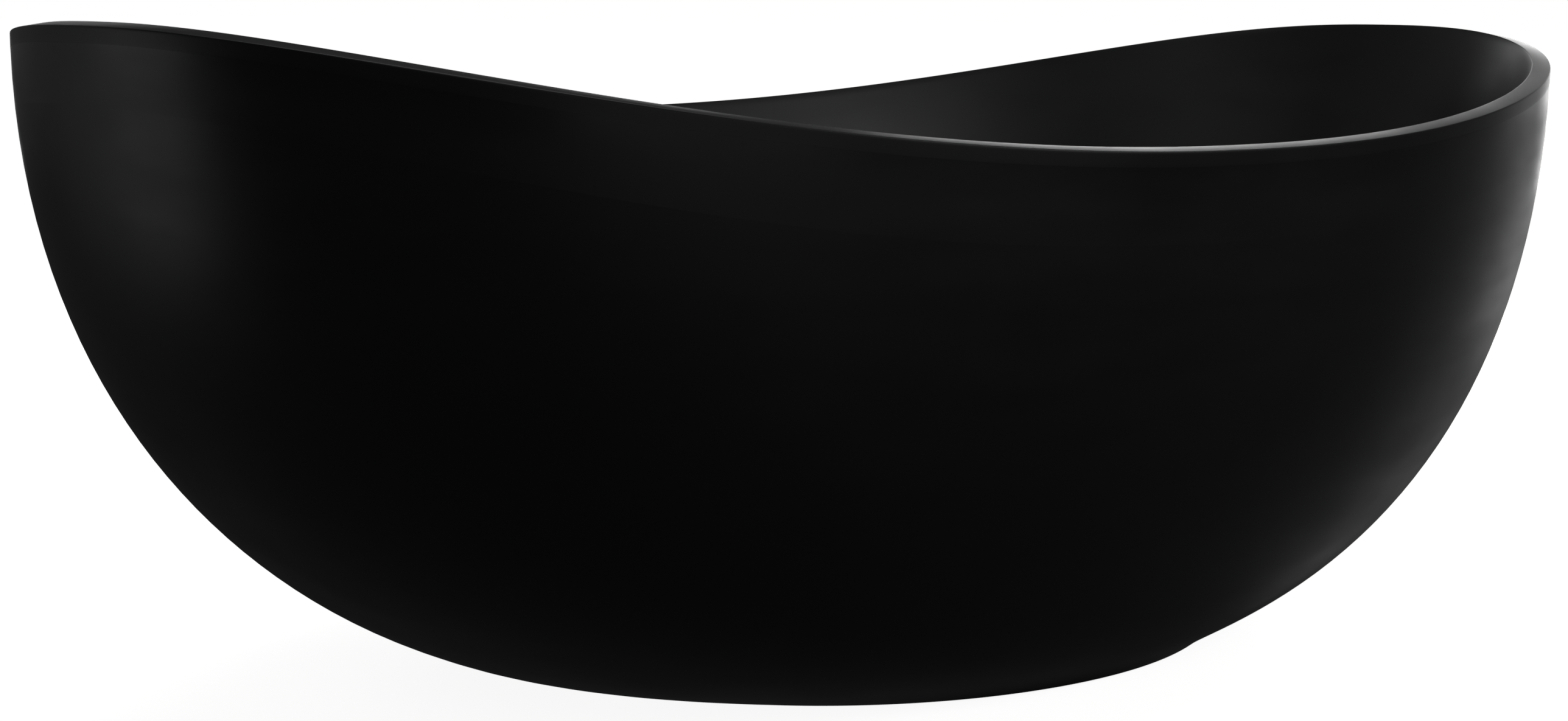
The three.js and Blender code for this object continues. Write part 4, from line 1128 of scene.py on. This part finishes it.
# Each soft panel's bearing from the tub in degrees, distance, height above the floor, size and brightness
PANELS = {
    "edge_panel": (27, 3.4, 0.8, (1.9, 1.2), 5.2),
    "right_end_panel": (4, 3.4, 0.55, (1.2, 1.7), 0.7),
    "left_edge_panel": (68, 3.4, 0.8, (2.2, 1.2), 1.4),
    "left_wash_panel": (107, 3.4, 0.8, (2.6, 1.2), 0.08),
    "left_side_panel": (150, 3.4, 0.0, (1.8, 1.4), 0.45),
    "overhead_panel": (90, 0.3, 3.4, (3.0, 2.4), 1.1),
    "back_high_panel": (110, 3.6, 2.4, (2.0, 1.5), 0.2),
    "front_high_panel": (228, 4.0, 2.6, (2.6, 1.6), 0.45),
    "front_low_panel": (260, 4.0, 0.7, (2.6, 1.2), 0.3),
    "right_high_panel": (300, 3.8, 2.0, (2.0, 1.6), 1.9),
    "floor_bounce_panel": (0, 3.0, -0.8, (1.6, 1.4), 0.2),
}


def floor_material():
    """Matt white paint that glows of its own, more so away from the tub, so that it stays pale."""
    material, tree, shader = new_material("white studio floor paint")
    shader.inputs["Roughness"].default_value = 0.95
    shader.inputs["Base Color"].default_value = hex_colour("#e8e8e6")
    shader.inputs["Specular IOR Level"].default_value = 0.0
    shader.inputs["Emission Color"].default_value = hex_colour("#ffffff")
    place = add_node(tree, "ShaderNodeTexCoord").outputs["Object"]
    away = add_node(tree, "ShaderNodeVectorMath", {"operation": "LENGTH"}, i0=place).outputs["Value"]
    fade = {"interpolation_type": "SMOOTHSTEP", "From Min": FLOOR_FADE[0], "From Max": FLOOR_FADE[1]}
    fade.update({"To Min": FLOOR_GLOW_NEAR, "To Max": FLOOR_GLOW_FAR})
    glow = add_node(tree, "ShaderNodeMapRange", fade, Value=away).outputs[0]
    tree.links.new(glow, shader.inputs["Emission Strength"])
    return material


def make_floor():
    bm = bmesh.new()
    bmesh.ops.create_grid(bm, x_segments=1, y_segments=1, size=FLOOR_REACH)
    mesh = bpy.data.meshes.new("studio_floor")
    bm.to_mesh(mesh)
    bm.free()
    floor = bpy.data.objects.new("studio_floor", mesh)
    bpy.context.scene.collection.objects.link(floor)
    mesh.materials.append(floor_material())
    floor.visible_glossy = False
    floor.visible_diffuse = False
    floor.visible_shadow = False


def make_panel(name, bearing, distance, height, size, radiance):
    """A soft light panel of a given brightness, facing the middle of the tub."""
    data = bpy.data.lights.new(name, "AREA")
    data.shape = "RECTANGLE"
    data.size, data.size_y = size
    data.energy = math.pi * size[0] * size[1] * radiance
    light = bpy.data.objects.new(name, data)
    bpy.context.scene.collection.objects.link(light)
    turn = math.radians(bearing)
    light.location = (distance * math.cos(turn), distance * math.sin(turn), height)
    light.rotation_euler = (TUB_MIDDLE - light.location).to_track_quat("-Z", "Y").to_euler()
    light.visible_camera = False


def make_world():
    """White where the camera looks past the floor, and dim all round the tub."""
    world = bpy.data.worlds.new("studio")
    bpy.context.scene.world = world
    world.use_nodes = True
    tree = world.node_tree
    tree.nodes.clear()
    white = (1, 1, 1, 1)
    seen = add_node(tree, "ShaderNodeBackground", {"Strength": 1.0, "Color": white})
    felt = add_node(tree, "ShaderNodeBackground", {"Strength": ROOM_LIGHT, "Color": white})
    path = add_node(tree, "ShaderNodeLightPath")
    mix = add_node(tree, "ShaderNodeMixShader")
    tree.links.new(path.outputs["Is Camera Ray"], mix.inputs[0])
    tree.links.new(felt.outputs[0], mix.inputs[1])
    tree.links.new(seen.outputs[0], mix.inputs[2])
    add_node(tree, "ShaderNodeOutputWorld", i0=mix.outputs[0])


def make_camera():
    turn = math.radians(CAMERA_TURN)
    data = bpy.data.cameras.new("camera")
    data.sensor_width = SENSOR_WIDTH
    data.lens = LENS
    camera = bpy.data.objects.new("camera", data)
    bpy.context.scene.collection.objects.link(camera)
    place = Vector((math.sin(turn), -math.cos(turn), 0)) * CAMERA_DISTANCE + Vector((0, 0, CAMERA_HEIGHT))
    aim = Vector((math.cos(turn), math.sin(turn), 0)) * AIM_SHIFT + Vector((0, 0, AIM_HEIGHT))
    camera.location = place
    camera.rotation_mode = "QUATERNION"
    look = (aim - place).to_track_quat("-Z", "Y")
    camera.rotation_quaternion = look @ Matrix.Rotation(math.radians(CAMERA_ROLL), 3, "Z").to_quaternion()
    bpy.context.scene.camera = camera


make_floor()
make_world()
for panel_name, panel in PANELS.items():
    make_panel(panel_name, *panel)
make_camera()
bpy.context.scene.view_settings.view_transform = "Standard"
